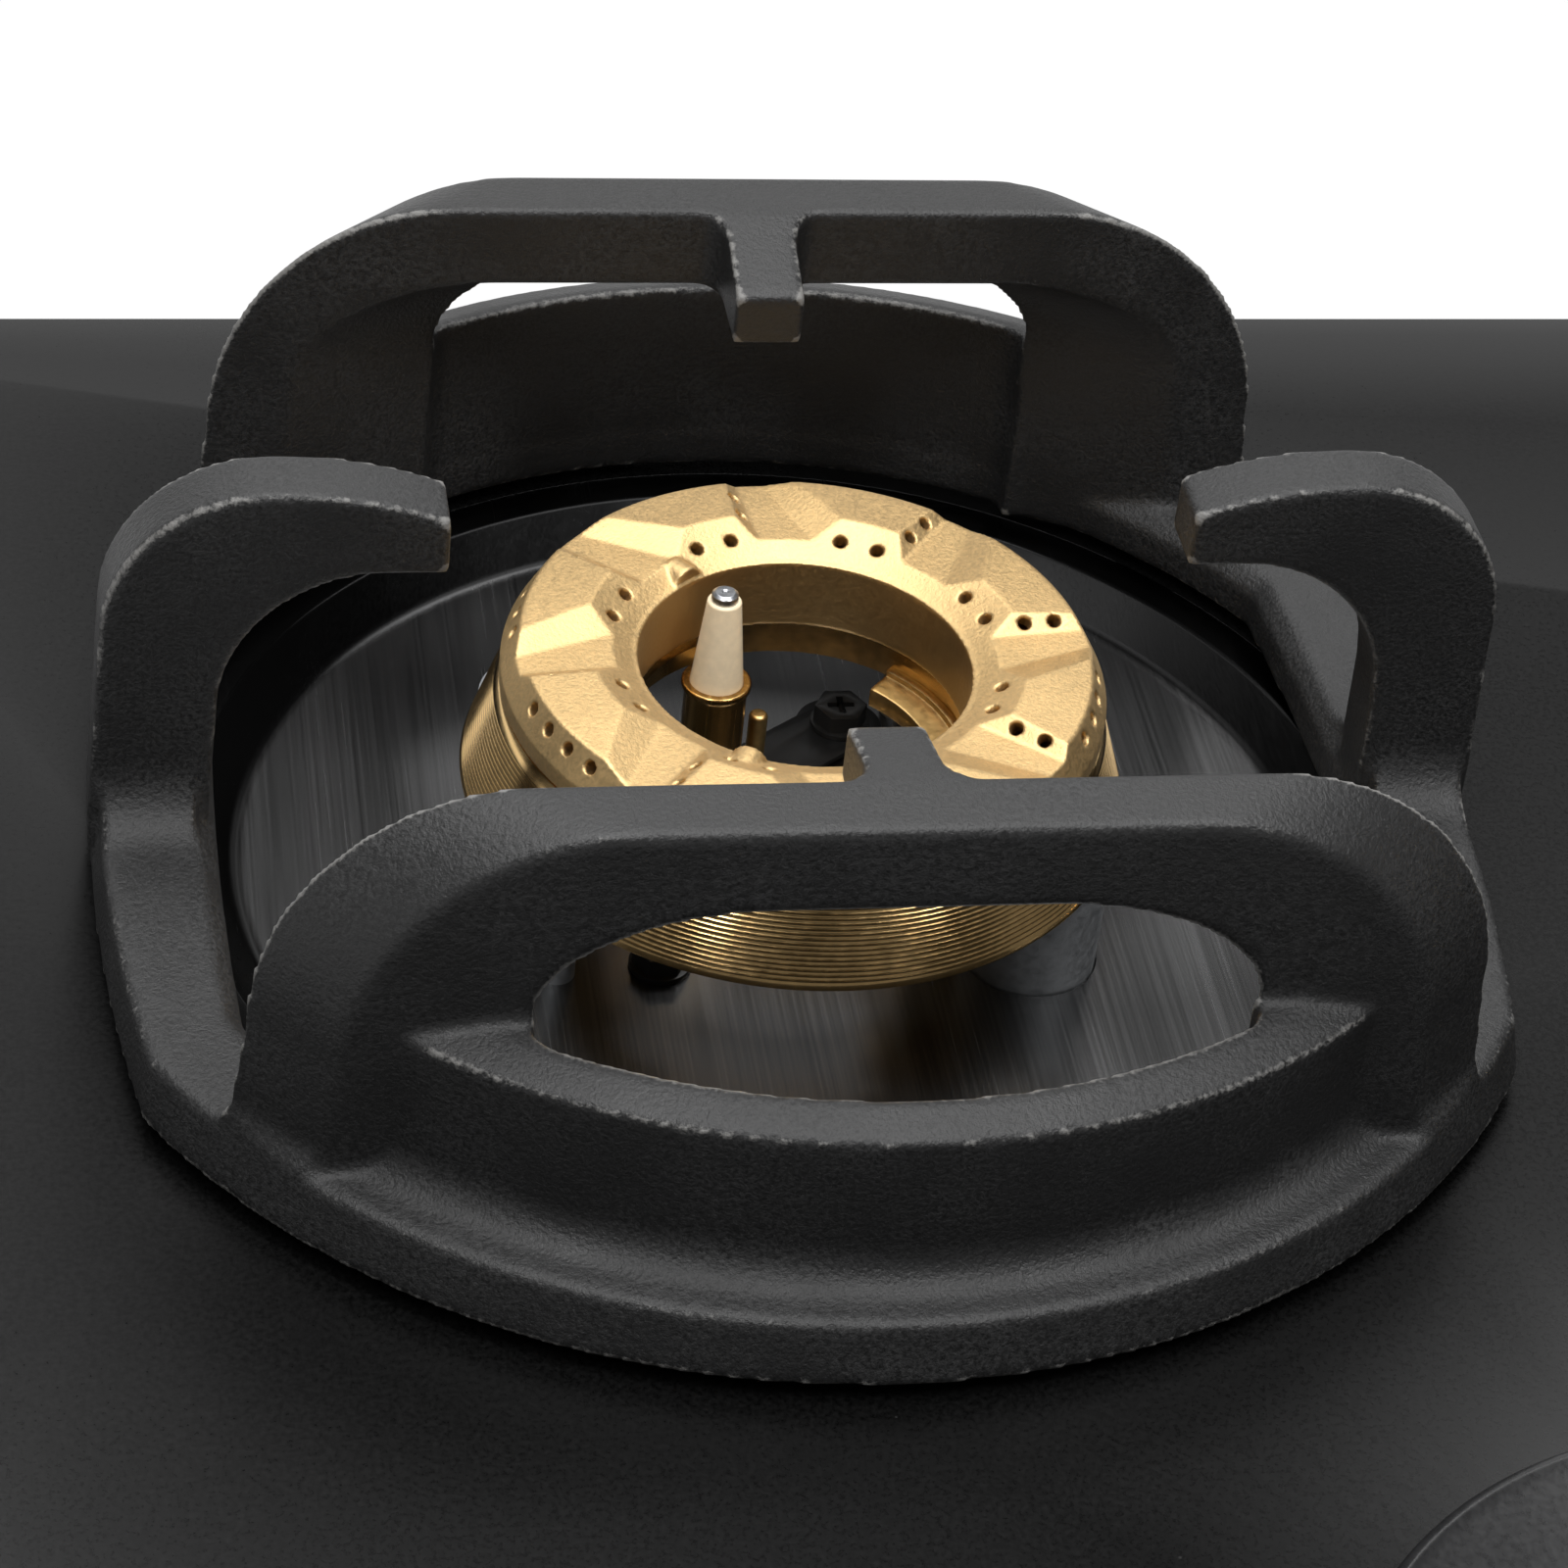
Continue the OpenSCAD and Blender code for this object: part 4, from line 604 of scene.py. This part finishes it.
def brushed_tray(colours):
    """Black steel brushed across the tray, with painted shade that makes it nearly black where the rim
    attribute marks its raised edge.
    """
    finish = Finish("black_steel", colours.steel, 0.25, 1.0)
    lines = finish.noise(0.25 * MM, vector=finish.mapped(stretch=(1, 0.008, 1)))
    wide = finish.noise(5 * MM, vector=finish.mapped(stretch=(1, 0.05, 1)))
    both = finish.math(
        "ADD", finish.math("MULTIPLY", lines, 0.5), finish.math("MULTIPLY", wide, 0.5))
    shade = finish.span(both, 0.35, 0.65)
    metal = finish.blend(shade, tone(colours.steel, 0.8), tone(colours.steel, 1.2))
    rim = finish.span(finish.attribute("rim"), 0, 1)
    # Painted shade and dark reflection: the slope and rim are nearly black
    finish.colour(finish.blend(rim, metal, tone(colours.steel, 0.08)))
    finish.rough(finish.span(both, 0.35, 0.65, 0.20, 0.28))
    return finish.bump(lines, 0.006 * MM).material


def glazed_ceramic(colours):
    """Cream ceramic under a thin glaze."""
    finish = Finish("ceramic", colours.ceramic, 0.32, coat_weight=0.3, coat_roughness=0.15)
    grain = finish.noise(0.8 * MM)
    shade = finish.span(grain, 0.35, 0.65)
    finish.colour(finish.blend(shade, tone(colours.ceramic, 0.95), tone(colours.ceramic, 1.04)))
    finish.rough(finish.span(grain, 0.3, 0.7, 0.28, 0.38))
    return finish.bump(grain, 0.01 * MM).material


FINISHES = {}


def mix_finishes():
    """Makes every finish once, and gives each node that keeps its shape the finish of its slot."""
    _, colours, _ = hob()
    centre = middle("left_drip_tray")
    FINISHES.update(
        black_cast_iron=sand_cast_iron(colours),
        blasted_brass=blasted_brass(colours),
        turned_brass_left=turned_brass("turned_brass_left", colours, centre),
        turned_brass_right=turned_brass("turned_brass_right", colours, centre + burner_shift()),
        black_glass=satin_glass(colours),
        black_steel=brushed_tray(colours),
        ceramic=glazed_ceramic(colours),
        electrode_metal=grainy("electrode_metal", (0.42, 0.43, 0.45), 0.34, 1.0),
        sleeve_brass=brushed("sleeve_brass", (0.40, 0.25, 0.09), 0.22, (0, 0, 1)),
        black_sheet=grainy("black_sheet", (0.012, 0.012, 0.012), 0.42),
        black_screws=grainy("black_screws", (0.022, 0.021, 0.020), 0.36, 0.35),
        cast_aluminium=grainy("cast_aluminium", (0.30, 0.31, 0.32), 0.55, 0.85, 0.7 * MM, 0.08 * MM),
        dish_black=grainy("dish_black", (0.014, 0.014, 0.0145), 0.30),
        knob_black=grainy("knob_black", tuple(colours.plastic), 0.38),
        foam=grainy("foam", (0.03, 0.03, 0.03), 0.9, size=0.9 * MM, depth=0.2 * MM),
        case_steel=brushed("case_steel", (0.36, 0.37, 0.38), 0.36),
        feet_rubber=grainy("feet_rubber", (0.022, 0.022, 0.022), 0.72),
        zinc_screws=grainy("zinc_screws", (0.60, 0.61, 0.63), 0.30, 1.0),
        zinc_sheet=grainy("zinc_sheet", (0.50, 0.51, 0.53), 0.38, 1.0, 8 * MM, 0.01 * MM),
        pipe_aluminium=brushed("pipe_aluminium", (0.62, 0.63, 0.65), 0.30, (0, 1, 0)),
        tap_brass=grainy("tap_brass", (0.62, 0.43, 0.18), 0.34, 1.0),
        tap_steel=brushed("tap_steel", (0.60, 0.61, 0.63), 0.28, (0, 0, 1)),
        rail_steel=brushed("rail_steel", (0.48, 0.49, 0.51), 0.34, (1, 0, 0)),
        switch_plastic=grainy("switch_plastic", (0.020, 0.021, 0.023), 0.45),
        lead_red=grainy("lead_red", (0.42, 0.045, 0.03), 0.42),
        lead_copper=grainy("lead_copper", (0.55, 0.26, 0.12), 0.34, 1.0),
        lead_black=grainy("lead_black", (0.020, 0.020, 0.020), 0.45),
        module_white=grainy("module_white", (0.66, 0.66, 0.63), 0.42),
        battery_sleeve=grainy("battery_sleeve", (0.09, 0.10, 0.115), 0.30),
    )
    for name, node in NODES.items():
        kind = name.removeprefix("left_").removeprefix("right_")
        if kind in NODE_FINISHES:
            for spot in node.material_slots:
                spot.material = FINISHES[NODE_FINISHES[kind]]


class HobOperator(bpy.types.Operator):
    """Common ground of the operators that build the hob"""
    bl_options = {"REGISTER", "UNDO"}


class HOB_OT_finishes(HobOperator):
    """Mix the procedural finishes and dress the nodes that keep their shape"""
    bl_idname = "hob.finishes"
    bl_label = "Finishes"

    def execute(self, context):
        mix_finishes()
        return {"FINISHED"}


class HOB_OT_glass(HobOperator):
    """Satin black glass plate with a ground edge"""
    bl_idname = "hob.glass"
    bl_label = "Glass plate"

    def execute(self, context):
        sizes, _, _ = hob()
        plate = eased_copy("glass_top", "glass_plate", sizes.glass_edge, angle=20, segments=3)
        placed(plate, FINISHES["black_glass"], "hob", "black_glass", "glass_top")
        return {"FINISHED"}


class HOB_OT_pan_supports(HobOperator):
    """Cast pan supports with soft edges"""
    bl_idname = "hob.pan_supports"
    bl_label = "Pan supports"

    def execute(self, context):
        sizes, _, _ = hob()
        casting = merged_copy("left_pan_support", "left_casting")
        mark_edges(recast(casting, sizes.casting_grid, sizes.casting_rounds, sizes.most_faces))
        smoothed(casting, SMOOTH_ALL)
        pair(casting, "casting", FINISHES["black_cast_iron"], "black_cast_iron", "pan_support",
             ("left_support", "right_support"))
        return {"FINISHED"}


class HOB_OT_burner_caps(HobOperator):
    """Sand-blasted brass caps with petals and flame ports"""
    bl_idname = "hob.burner_caps"
    bl_label = "Burner caps"

    def execute(self, context):
        sizes, _, _ = hob()
        cap = merged_copy("left_burner_cap", "left_cap_ring")
        recast(cap, sizes.cap_grid, sizes.cap_rounds, sizes.most_faces)
        self.mark_bore_and_shade(cap)
        smoothed(cap, SMOOTH_ALL)
        pair(cap, "cap_ring", FINISHES["blasted_brass"], "blasted_brass", "burner_cap",
             ("left_cap", "right_cap"))
        return {"FINISHED"}

    def mark_bore_and_shade(self, cap):
        """Writes where the cap faces its own axis inside the bore, which is turned smooth and gets a
        little painted shade.
        """
        bore, least_inward, sharpness = 27.6 * MM, 0.82, 8
        spots = point_values(cap, "co")[:, :2] - np.array(middle("left_burner_cap")[:2])
        facing = point_values(cap, "normal")[:, :2]
        radii = np.maximum(np.hypot(*spots.T), MM)
        inward = -(spots * facing).sum(axis=1) / radii
        marked(cap, "bore", np.clip(sharpness * (inward - least_inward), 0, 1) * (radii < bore))


class HOB_OT_burner_bodies(HobOperator):
    """Turned brass bodies with fine grooves"""
    bl_idname = "hob.burner_bodies"
    bl_label = "Burner bodies"

    bore = 28.6 * MM
    riser_hole = 5 * MM
    sharp_angle = 40

    def execute(self, context):
        base, foot, height = upright("left_burner_body")
        floor = 5.5 * MM
        body = turned("left_body_ring", base, self.profile(foot, height, floor), steps=144)
        drilled(body, risers(base), self.riser_hole, base.z - MM, base.z + floor + MM)
        smoothed(body, self.sharp_angle)
        right = twin(body, "right_body_ring", burner_shift())
        placed(body, FINISHES["turned_brass_left"], "hob", "turned_brass", "left_burner_body")
        placed(right, FINISHES["turned_brass_right"], "hob", "turned_brass", "right_burner_body")
        self.ledges(base)
        return {"FINISHED"}

    def profile(self, foot, height, floor):
        """Half section of a body, from the bore round the foot and rim to the cap's seat."""
        top, wall = foot - 5.4 * MM, 3 * MM
        edge, rim_edge = 0.6 * MM, 0.3 * MM
        step, step_in, step_out = 3.3 * MM, 34.5 * MM, 37.5 * MM
        seat, seat_r, lip, lip_depth = 10.3 * MM, 31.5 * MM, 27.0 * MM, 2 * MM
        return [
            (self.bore, step), (step_in, step), (step_out, 0), (foot - 2 * edge, 0), (foot, edge),
            *self.grooved(foot, edge, top, height),
            (top, height - rim_edge), (top - rim_edge, height), (top - wall, height),
            (top - wall, 2 * floor), (top - wall - floor, floor), (seat_r, floor), (seat_r, seat),
            (lip, seat), (lip, seat - lip_depth), (self.bore, seat - lip_depth - MM), (self.bore, step),
        ]

    def grooved(self, foot, edge, top, height):
        """The slanted outside of a body, with a half wave for each groove."""
        sizes, _, _ = hob()
        slope = Vector((top - foot, height - edge))
        first, last = 0.05, 0.88
        points_each = 8
        steps = sizes.grooves * points_each
        outer = []
        for k in range(steps + 1):
            along = first + (last - first) * k / steps
            dip = sizes.groove_depth * abs(math.sin(math.pi * k / points_each))
            outer.append((foot + slope.x * along - dip, edge + slope.y * along))
        return outer

    def ledges(self, base):
        """Cast brass ledges that bulge into the bores beside the front gas risers."""
        wide, middle_turn, inner = 106, -5, 22.5 * MM
        low, flat, rim, rim_width, rounding = 0.5 * MM, 4.2 * MM, 5.2 * MM, 1.4 * MM, 0.7 * MM
        outer, rim_in = self.bore + low, self.bore - rim_width
        points = [(inner, low), (outer, low), (outer, rim), (rim_in, rim), (rim_in, flat), (inner, flat),
                  (inner, low)]
        ledge = turned("left_ledge", base, points, steps=180)
        editing(ledge)
        bpy.ops.mesh.select_all(action="DESELECT")
        done_editing()
        for face in ledge.data.polygons:
            place = face.center - base
            turn = math.degrees(math.atan2(place.y, place.x)) - middle_turn
            face.select = abs(turn) > wide / 2
        bpy.ops.object.mode_set(mode="EDIT")
        bpy.ops.mesh.delete(type="FACE")
        bpy.ops.mesh.select_all(action="SELECT")
        bpy.ops.mesh.fill_holes(sides=0)
        bpy.ops.mesh.normals_make_consistent(inside=False)
        done_editing()
        modified(ledge, "BEVEL", width=rounding, segments=2, limit_method="ANGLE",
                 angle_limit=math.radians(self.sharp_angle))
        smoothed(ledge, self.sharp_angle)
        for piece in (ledge, twin(ledge, "right_ledge", burner_shift())):
            placed(piece, FINISHES["tap_brass"], "hob", "turned_brass")


class HOB_OT_drip_trays(HobOperator):
    """Brushed black steel trays with pressed bends"""
    bl_idname = "hob.drip_trays"
    bl_label = "Drip trays"

    def execute(self, context):
        sizes, _, _ = hob()
        base, rim, depth = upright("left_drip_tray")
        well, floor, sheet, slant = 98 * MM, 90 * MM, MM, 0.5 * MM
        bend, riser_hole = sizes.sheet_bend, 11.3 * MM
        points = [(0, 0), (floor, 0), (well, depth - sheet), (rim, depth - sheet), (rim, depth),
                  (well - slant, depth), (floor - slant, sheet), (0, sheet)]
        radii = [0, bend, bend / 3, 0.3 * MM, 0.4 * MM, bend / 3, bend, 0]
        tray = turned("left_tray", base, filleted(points, radii), steps=160)
        drilled(tray, risers(base), riser_hole, base.z - MM, base.z + 3 * MM)
        smoothed(tray, 30)
        self.mark_rim_shade(tray, base.z)
        pair(tray, "tray", FINISHES["black_steel"], "black_steel", "drip_tray")
        return {"FINISHED"}

    def mark_rim_shade(self, tray, floor_z):
        """Writes where the tray leaves its flat floor, which the painted shade of the rim reads."""
        sheet, sharpness = MM, 4
        heights = point_values(tray, "co")[:, 2] - floor_z
        marked(tray, "rim", np.clip(sharpness * (heights - sheet) / MM, 0, 1))


class HOB_OT_electrodes(HobOperator):
    """Spark electrodes in their brass sleeves, and thermocouples"""
    bl_idname = "hob.electrodes"
    bl_label = "Electrodes"

    def execute(self, context):
        self.ceramics()
        self.tips()
        self.sleeves()
        self.thermocouples()
        return {"FINISHED"}

    def ceramics(self):
        base, foot, tall = upright("left_electrode_ceramic")
        _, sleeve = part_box("left_electrode_sleeve")
        shoulder, neck = sleeve.z - base.z, 2.8 * MM
        points = [(0, 0), (foot, 0), (foot, shoulder), (neck, tall), (0, tall)]
        radii = [0, 0.5 * MM, 6 * MM, 0.5 * MM, 0]
        ceramic = turned("left_ceramic", base, filleted(points, radii), steps=64)
        pair(ceramic, "ceramic", FINISHES["ceramic"], "ceramic", "electrode_ceramic")

    def tips(self):
        base, radius, tall = upright("left_electrode_tip")
        points = [(0, 0), (radius, 0), (radius, tall * 0.72), (radius * 0.72, tall),
                  (radius * 0.30, tall), (radius * 0.16, tall * 0.86), (0, tall * 0.86)]
        radii = [0, 0, 0.25 * MM, 0.2 * MM, 0.1 * MM, 0.1 * MM, 0]
        tip = turned("left_spark_tip", base, filleted(points, radii), steps=48)
        pair(tip, "spark_tip", FINISHES["electrode_metal"], "electrode_metal", "electrode_tip")

    def sleeves(self):
        base, lip, tall = upright("left_electrode_sleeve")
        wall, bore = lip - 0.6 * MM, 4.45 * MM
        points = [(bore, 0), (lip, 0), (lip, 1.2 * MM), (wall, 1.8 * MM), (wall, tall - 1.6 * MM),
                  (lip, tall - 1.1 * MM), (lip, tall), (bore, tall), (bore, 0)]
        radii = [0, 0.2 * MM, 0.3 * MM, 0.3 * MM, 0.3 * MM, 0.4 * MM, 0.4 * MM, 0.2 * MM, 0]
        sleeve = turned("left_sleeve", base, filleted(points, radii), steps=64)
        pair(sleeve, "sleeve", FINISHES["sleeve_brass"], "turned_brass", "electrode_sleeve")

    def thermocouples(self):
        base, _, tall = upright("left_thermocouple")
        pin, collar, collar_z = 1.6 * MM, 2.6 * MM, 16.2 * MM
        points = [(0, 0), (pin, 0), (pin, collar_z), (collar, collar_z), (collar, collar_z + 3 * MM),
                  (pin, collar_z + 3.4 * MM), (pin, tall), (0, tall)]
        radii = [0, 0.2 * MM, 0, 0.2 * MM, 0.4 * MM, 0.2 * MM, 1.3 * MM, 0]
        probe = turned("left_probe", base, filleted(points, radii), steps=40)
        pair(probe, "probe", FINISHES["tap_brass"], "turned_brass", "thermocouple")


class HOB_OT_brackets(HobOperator):
    """Electrode brackets and the flange screws in the trays"""
    bl_idname = "hob.brackets"
    bl_label = "Brackets and screws"

    def execute(self, context):
        bracket = eased_copy("left_electrode_bracket", "left_bracket", 0.3 * MM)
        pair(bracket, "bracket", FINISHES["black_sheet"], "black_sheet", "electrode_bracket")
        screws = eased_copy("tray_screws", "flange_screws", 0.35 * MM, angle=35)
        placed(screws, FINISHES["black_screws"], "hob", "black_screws", "tray_screws")
        return {"FINISHED"}


class HOB_OT_knobs(HobOperator):
    """Knobs with a pointer line, in their round dishes"""
    bl_idname = "hob.knobs"
    bl_label = "Knobs and dishes"

    def execute(self, context):
        for side in SIDES:
            knob = eased_copy(f"{side}_knob", f"{side}_grip", 0.5 * MM, angle=35, segments=3)
            placed(knob, FINISHES["knob_black"], f"{side}_knob", "knob_black", f"{side}_knob")
            dish = eased_copy(f"{side}_knob_dish", f"{side}_dish", 0.3 * MM, angle=35)
            placed(dish, FINISHES["dish_black"], "hob", "dish_black", f"{side}_knob_dish")
        return {"FINISHED"}


class HOB_OT_case(HobOperator):
    """Bottom case, feet, battery lid, gas inlet and worktop clamps"""
    bl_idname = "hob.case"
    bl_label = "Case and fixings"

    def execute(self, context):
        parts = (
            ("bottom_case", "case_shell", "case_steel", 0.4, "hob"),
            ("case_feet", "rubber_feet", "feet_rubber", 0.8, "hob"),
            ("battery_lid", "lid", "switch_plastic", 0.3, "lid"),
            ("gas_inlet", "inlet_fitting", "tap_brass", 0.4, "hob"),
            ("inlet_nut", "inlet_lock_nut", "zinc_screws", 0.4, "hob"),
            ("worktop_clamps", "clamps", "zinc_sheet", 0.4, "hob"),
            ("clamp_screws", "clamp_bolts", "zinc_screws", 0.3, "hob"),
        )
        for node, name, finish, width, body in parts:
            piece = eased_copy(node, name, width * MM)
            piece.data.materials.append(FINISHES[finish])
            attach(piece, body)
            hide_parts(node)
        return {"FINISHED"}


class HOB_OT_stage(HobOperator):
    """Pale floor, soft lamps and the camera"""
    bl_idname = "hob.stage"
    bl_label = "Stage"

    white = (1, 1, 1, 1)
    floor_size = 12
    floor_glow = 0.92

    def execute(self, context):
        _, _, stage = hob()
        self.floor(stage)
        self.surroundings(stage)
        burner = (-0.2, 0.065, 0.1)
        self.lamp("overhead", (-0.2, 0.40, 1.35), (-0.2, 0.05, 0.1), (1.4, 0.9), stage.key_watts)
        self.lamp("backdrop", (-0.2, 2.2, 0.85), (-0.2, 0.05, 0.3), (3.4, 1.5), stage.back_watts)
        self.lamp("front_left", (-0.545, -0.41, 1.20), burner, (0.10, 0.7), stage.side_watts)
        self.lamp("front_right", (0.236, -0.328, 1.20), burner, (0.16, 0.7), stage.side_watts)
        self.camera()
        context.scene.view_settings.view_transform = "Standard"
        return {"FINISHED"}

    def floor(self, stage):
        """A pale floor that camera and gloss see near white, under the object's own shadow."""
        deselect()
        bpy.ops.mesh.primitive_plane_add(size=self.floor_size, location=(0, 0, 0))
        floor = bpy.context.object
        floor.name = "floor"
        finish = Finish("pale_floor", stage.floor, 0.8)
        tree = finish.tree
        glow = finish.add("ShaderNodeEmission")
        finish.set(glow, "Color", self.white)
        finish.set(glow, "Strength", 1.0)
        rays = finish.add("ShaderNodeLightPath")
        seen = finish.math("ADD", rays.outputs["Is Camera Ray"], rays.outputs["Is Glossy Ray"])
        mix = finish.add("ShaderNodeMixShader")
        tree.links.new(finish.math("MULTIPLY", seen, self.floor_glow), mix.inputs[0])
        tree.links.new(finish.shader.outputs[0], mix.inputs[1])
        tree.links.new(glow.outputs[0], mix.inputs[2])
        tree.links.new(mix.outputs[0], tree.nodes["Material Output"].inputs["Surface"])
        floor.data.materials.append(finish.material)

    def surroundings(self, stage):
        """A dim white world that only the camera sees as white."""
        world = bpy.data.worlds.new("studio")
        world.use_nodes = True
        bpy.context.scene.world = world
        tree = world.node_tree
        plain = tree.nodes["Background"]
        plain.inputs["Color"].default_value = self.white
        plain.inputs["Strength"].default_value = stage.sky
        bright = tree.nodes.new("ShaderNodeBackground")
        bright.inputs["Color"].default_value = self.white
        bright.inputs["Strength"].default_value = 1.0
        rays = tree.nodes.new("ShaderNodeLightPath")
        mix = tree.nodes.new("ShaderNodeMixShader")
        tree.links.new(rays.outputs["Is Camera Ray"], mix.inputs[0])
        tree.links.new(plain.outputs[0], mix.inputs[1])
        tree.links.new(bright.outputs[0], mix.inputs[2])
        tree.links.new(mix.outputs[0], tree.nodes["World Output"].inputs["Surface"])

    def lamp(self, name, place, target, size, watts):
        """A flat lamp at place that faces target."""
        data = bpy.data.lights.new(name, "AREA")
        data.shape = "RECTANGLE"
        data.size, data.size_y = size
        data.energy = watts
        lamp = bpy.data.objects.new(name, data)
        lamp.location = place
        lamp.rotation_euler = (Vector(target) - Vector(place)).to_track_quat("-Z", "Y").to_euler()
        bpy.context.scene.collection.objects.link(lamp)

    def camera(self):
        """The camera that was fitted to the photograph."""
        data = bpy.data.cameras.new("view")
        data.lens, data.sensor_width = 93.53, 36
        data.clip_start, data.clip_end = 0.01, 50
        camera = bpy.data.objects.new("view", data)
        place = (-0.3148, -0.4430, 0.5018)
        pitch, yaw, roll = 0.6676, -0.2201, 0.1179
        forward = Vector((
            -math.sin(yaw) * math.cos(pitch), math.cos(yaw) * math.cos(pitch), -math.sin(pitch)))
        right = Vector((math.cos(yaw), math.sin(yaw), 0))
        up = right.cross(forward)
        side = math.cos(roll) * right + math.sin(roll) * up
        head = math.cos(roll) * up - math.sin(roll) * right
        turn = Matrix((side, head, -forward)).transposed().to_4x4()
        camera.matrix_world = Matrix.Translation(place) @ turn
        bpy.context.scene.collection.objects.link(camera)
        bpy.context.scene.camera = camera


OPERATORS = (
    HOB_OT_finishes, HOB_OT_glass, HOB_OT_pan_supports, HOB_OT_burner_caps, HOB_OT_burner_bodies,
    HOB_OT_drip_trays, HOB_OT_electrodes, HOB_OT_brackets, HOB_OT_knobs, HOB_OT_case, HOB_OT_stage,
)


class HOB_PT_panel(bpy.types.Panel):
    """Lists the sizes, the colours and the operators of the hob"""
    bl_label = "Gas Hob"
    bl_space_type = "VIEW_3D"
    bl_region_type = "UI"
    bl_category = "Gas Hob"

    def draw(self, context):
        for group in (context.scene.hob_sizes, context.scene.hob_colours, context.scene.hob_stage):
            column = self.layout.column(align=True)
            for name in group.__annotations__:
                column.prop(group, name)
        for operator in OPERATORS:
            self.layout.operator(operator.bl_idname)


GROUPS = (HobSizes, HobColours, HobStage)


def register():
    for item in (*GROUPS, *OPERATORS, HOB_PT_panel):
        bpy.utils.register_class(item)
    bpy.types.Scene.hob_sizes = bpy.props.PointerProperty(type=HobSizes)
    bpy.types.Scene.hob_colours = bpy.props.PointerProperty(type=HobColours)
    bpy.types.Scene.hob_stage = bpy.props.PointerProperty(type=HobStage)


def unregister():
    for name in ("hob_sizes", "hob_colours", "hob_stage"):
        delattr(bpy.types.Scene, name)
    for item in reversed((*GROUPS, *OPERATORS, HOB_PT_panel)):
        bpy.utils.unregister_class(item)


def main():
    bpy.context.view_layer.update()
    register()
    for operator in OPERATORS:
        group, name = operator.bl_idname.split(".")
        getattr(getattr(bpy.ops, group), name)()


if __name__ == "__main__":
    main()
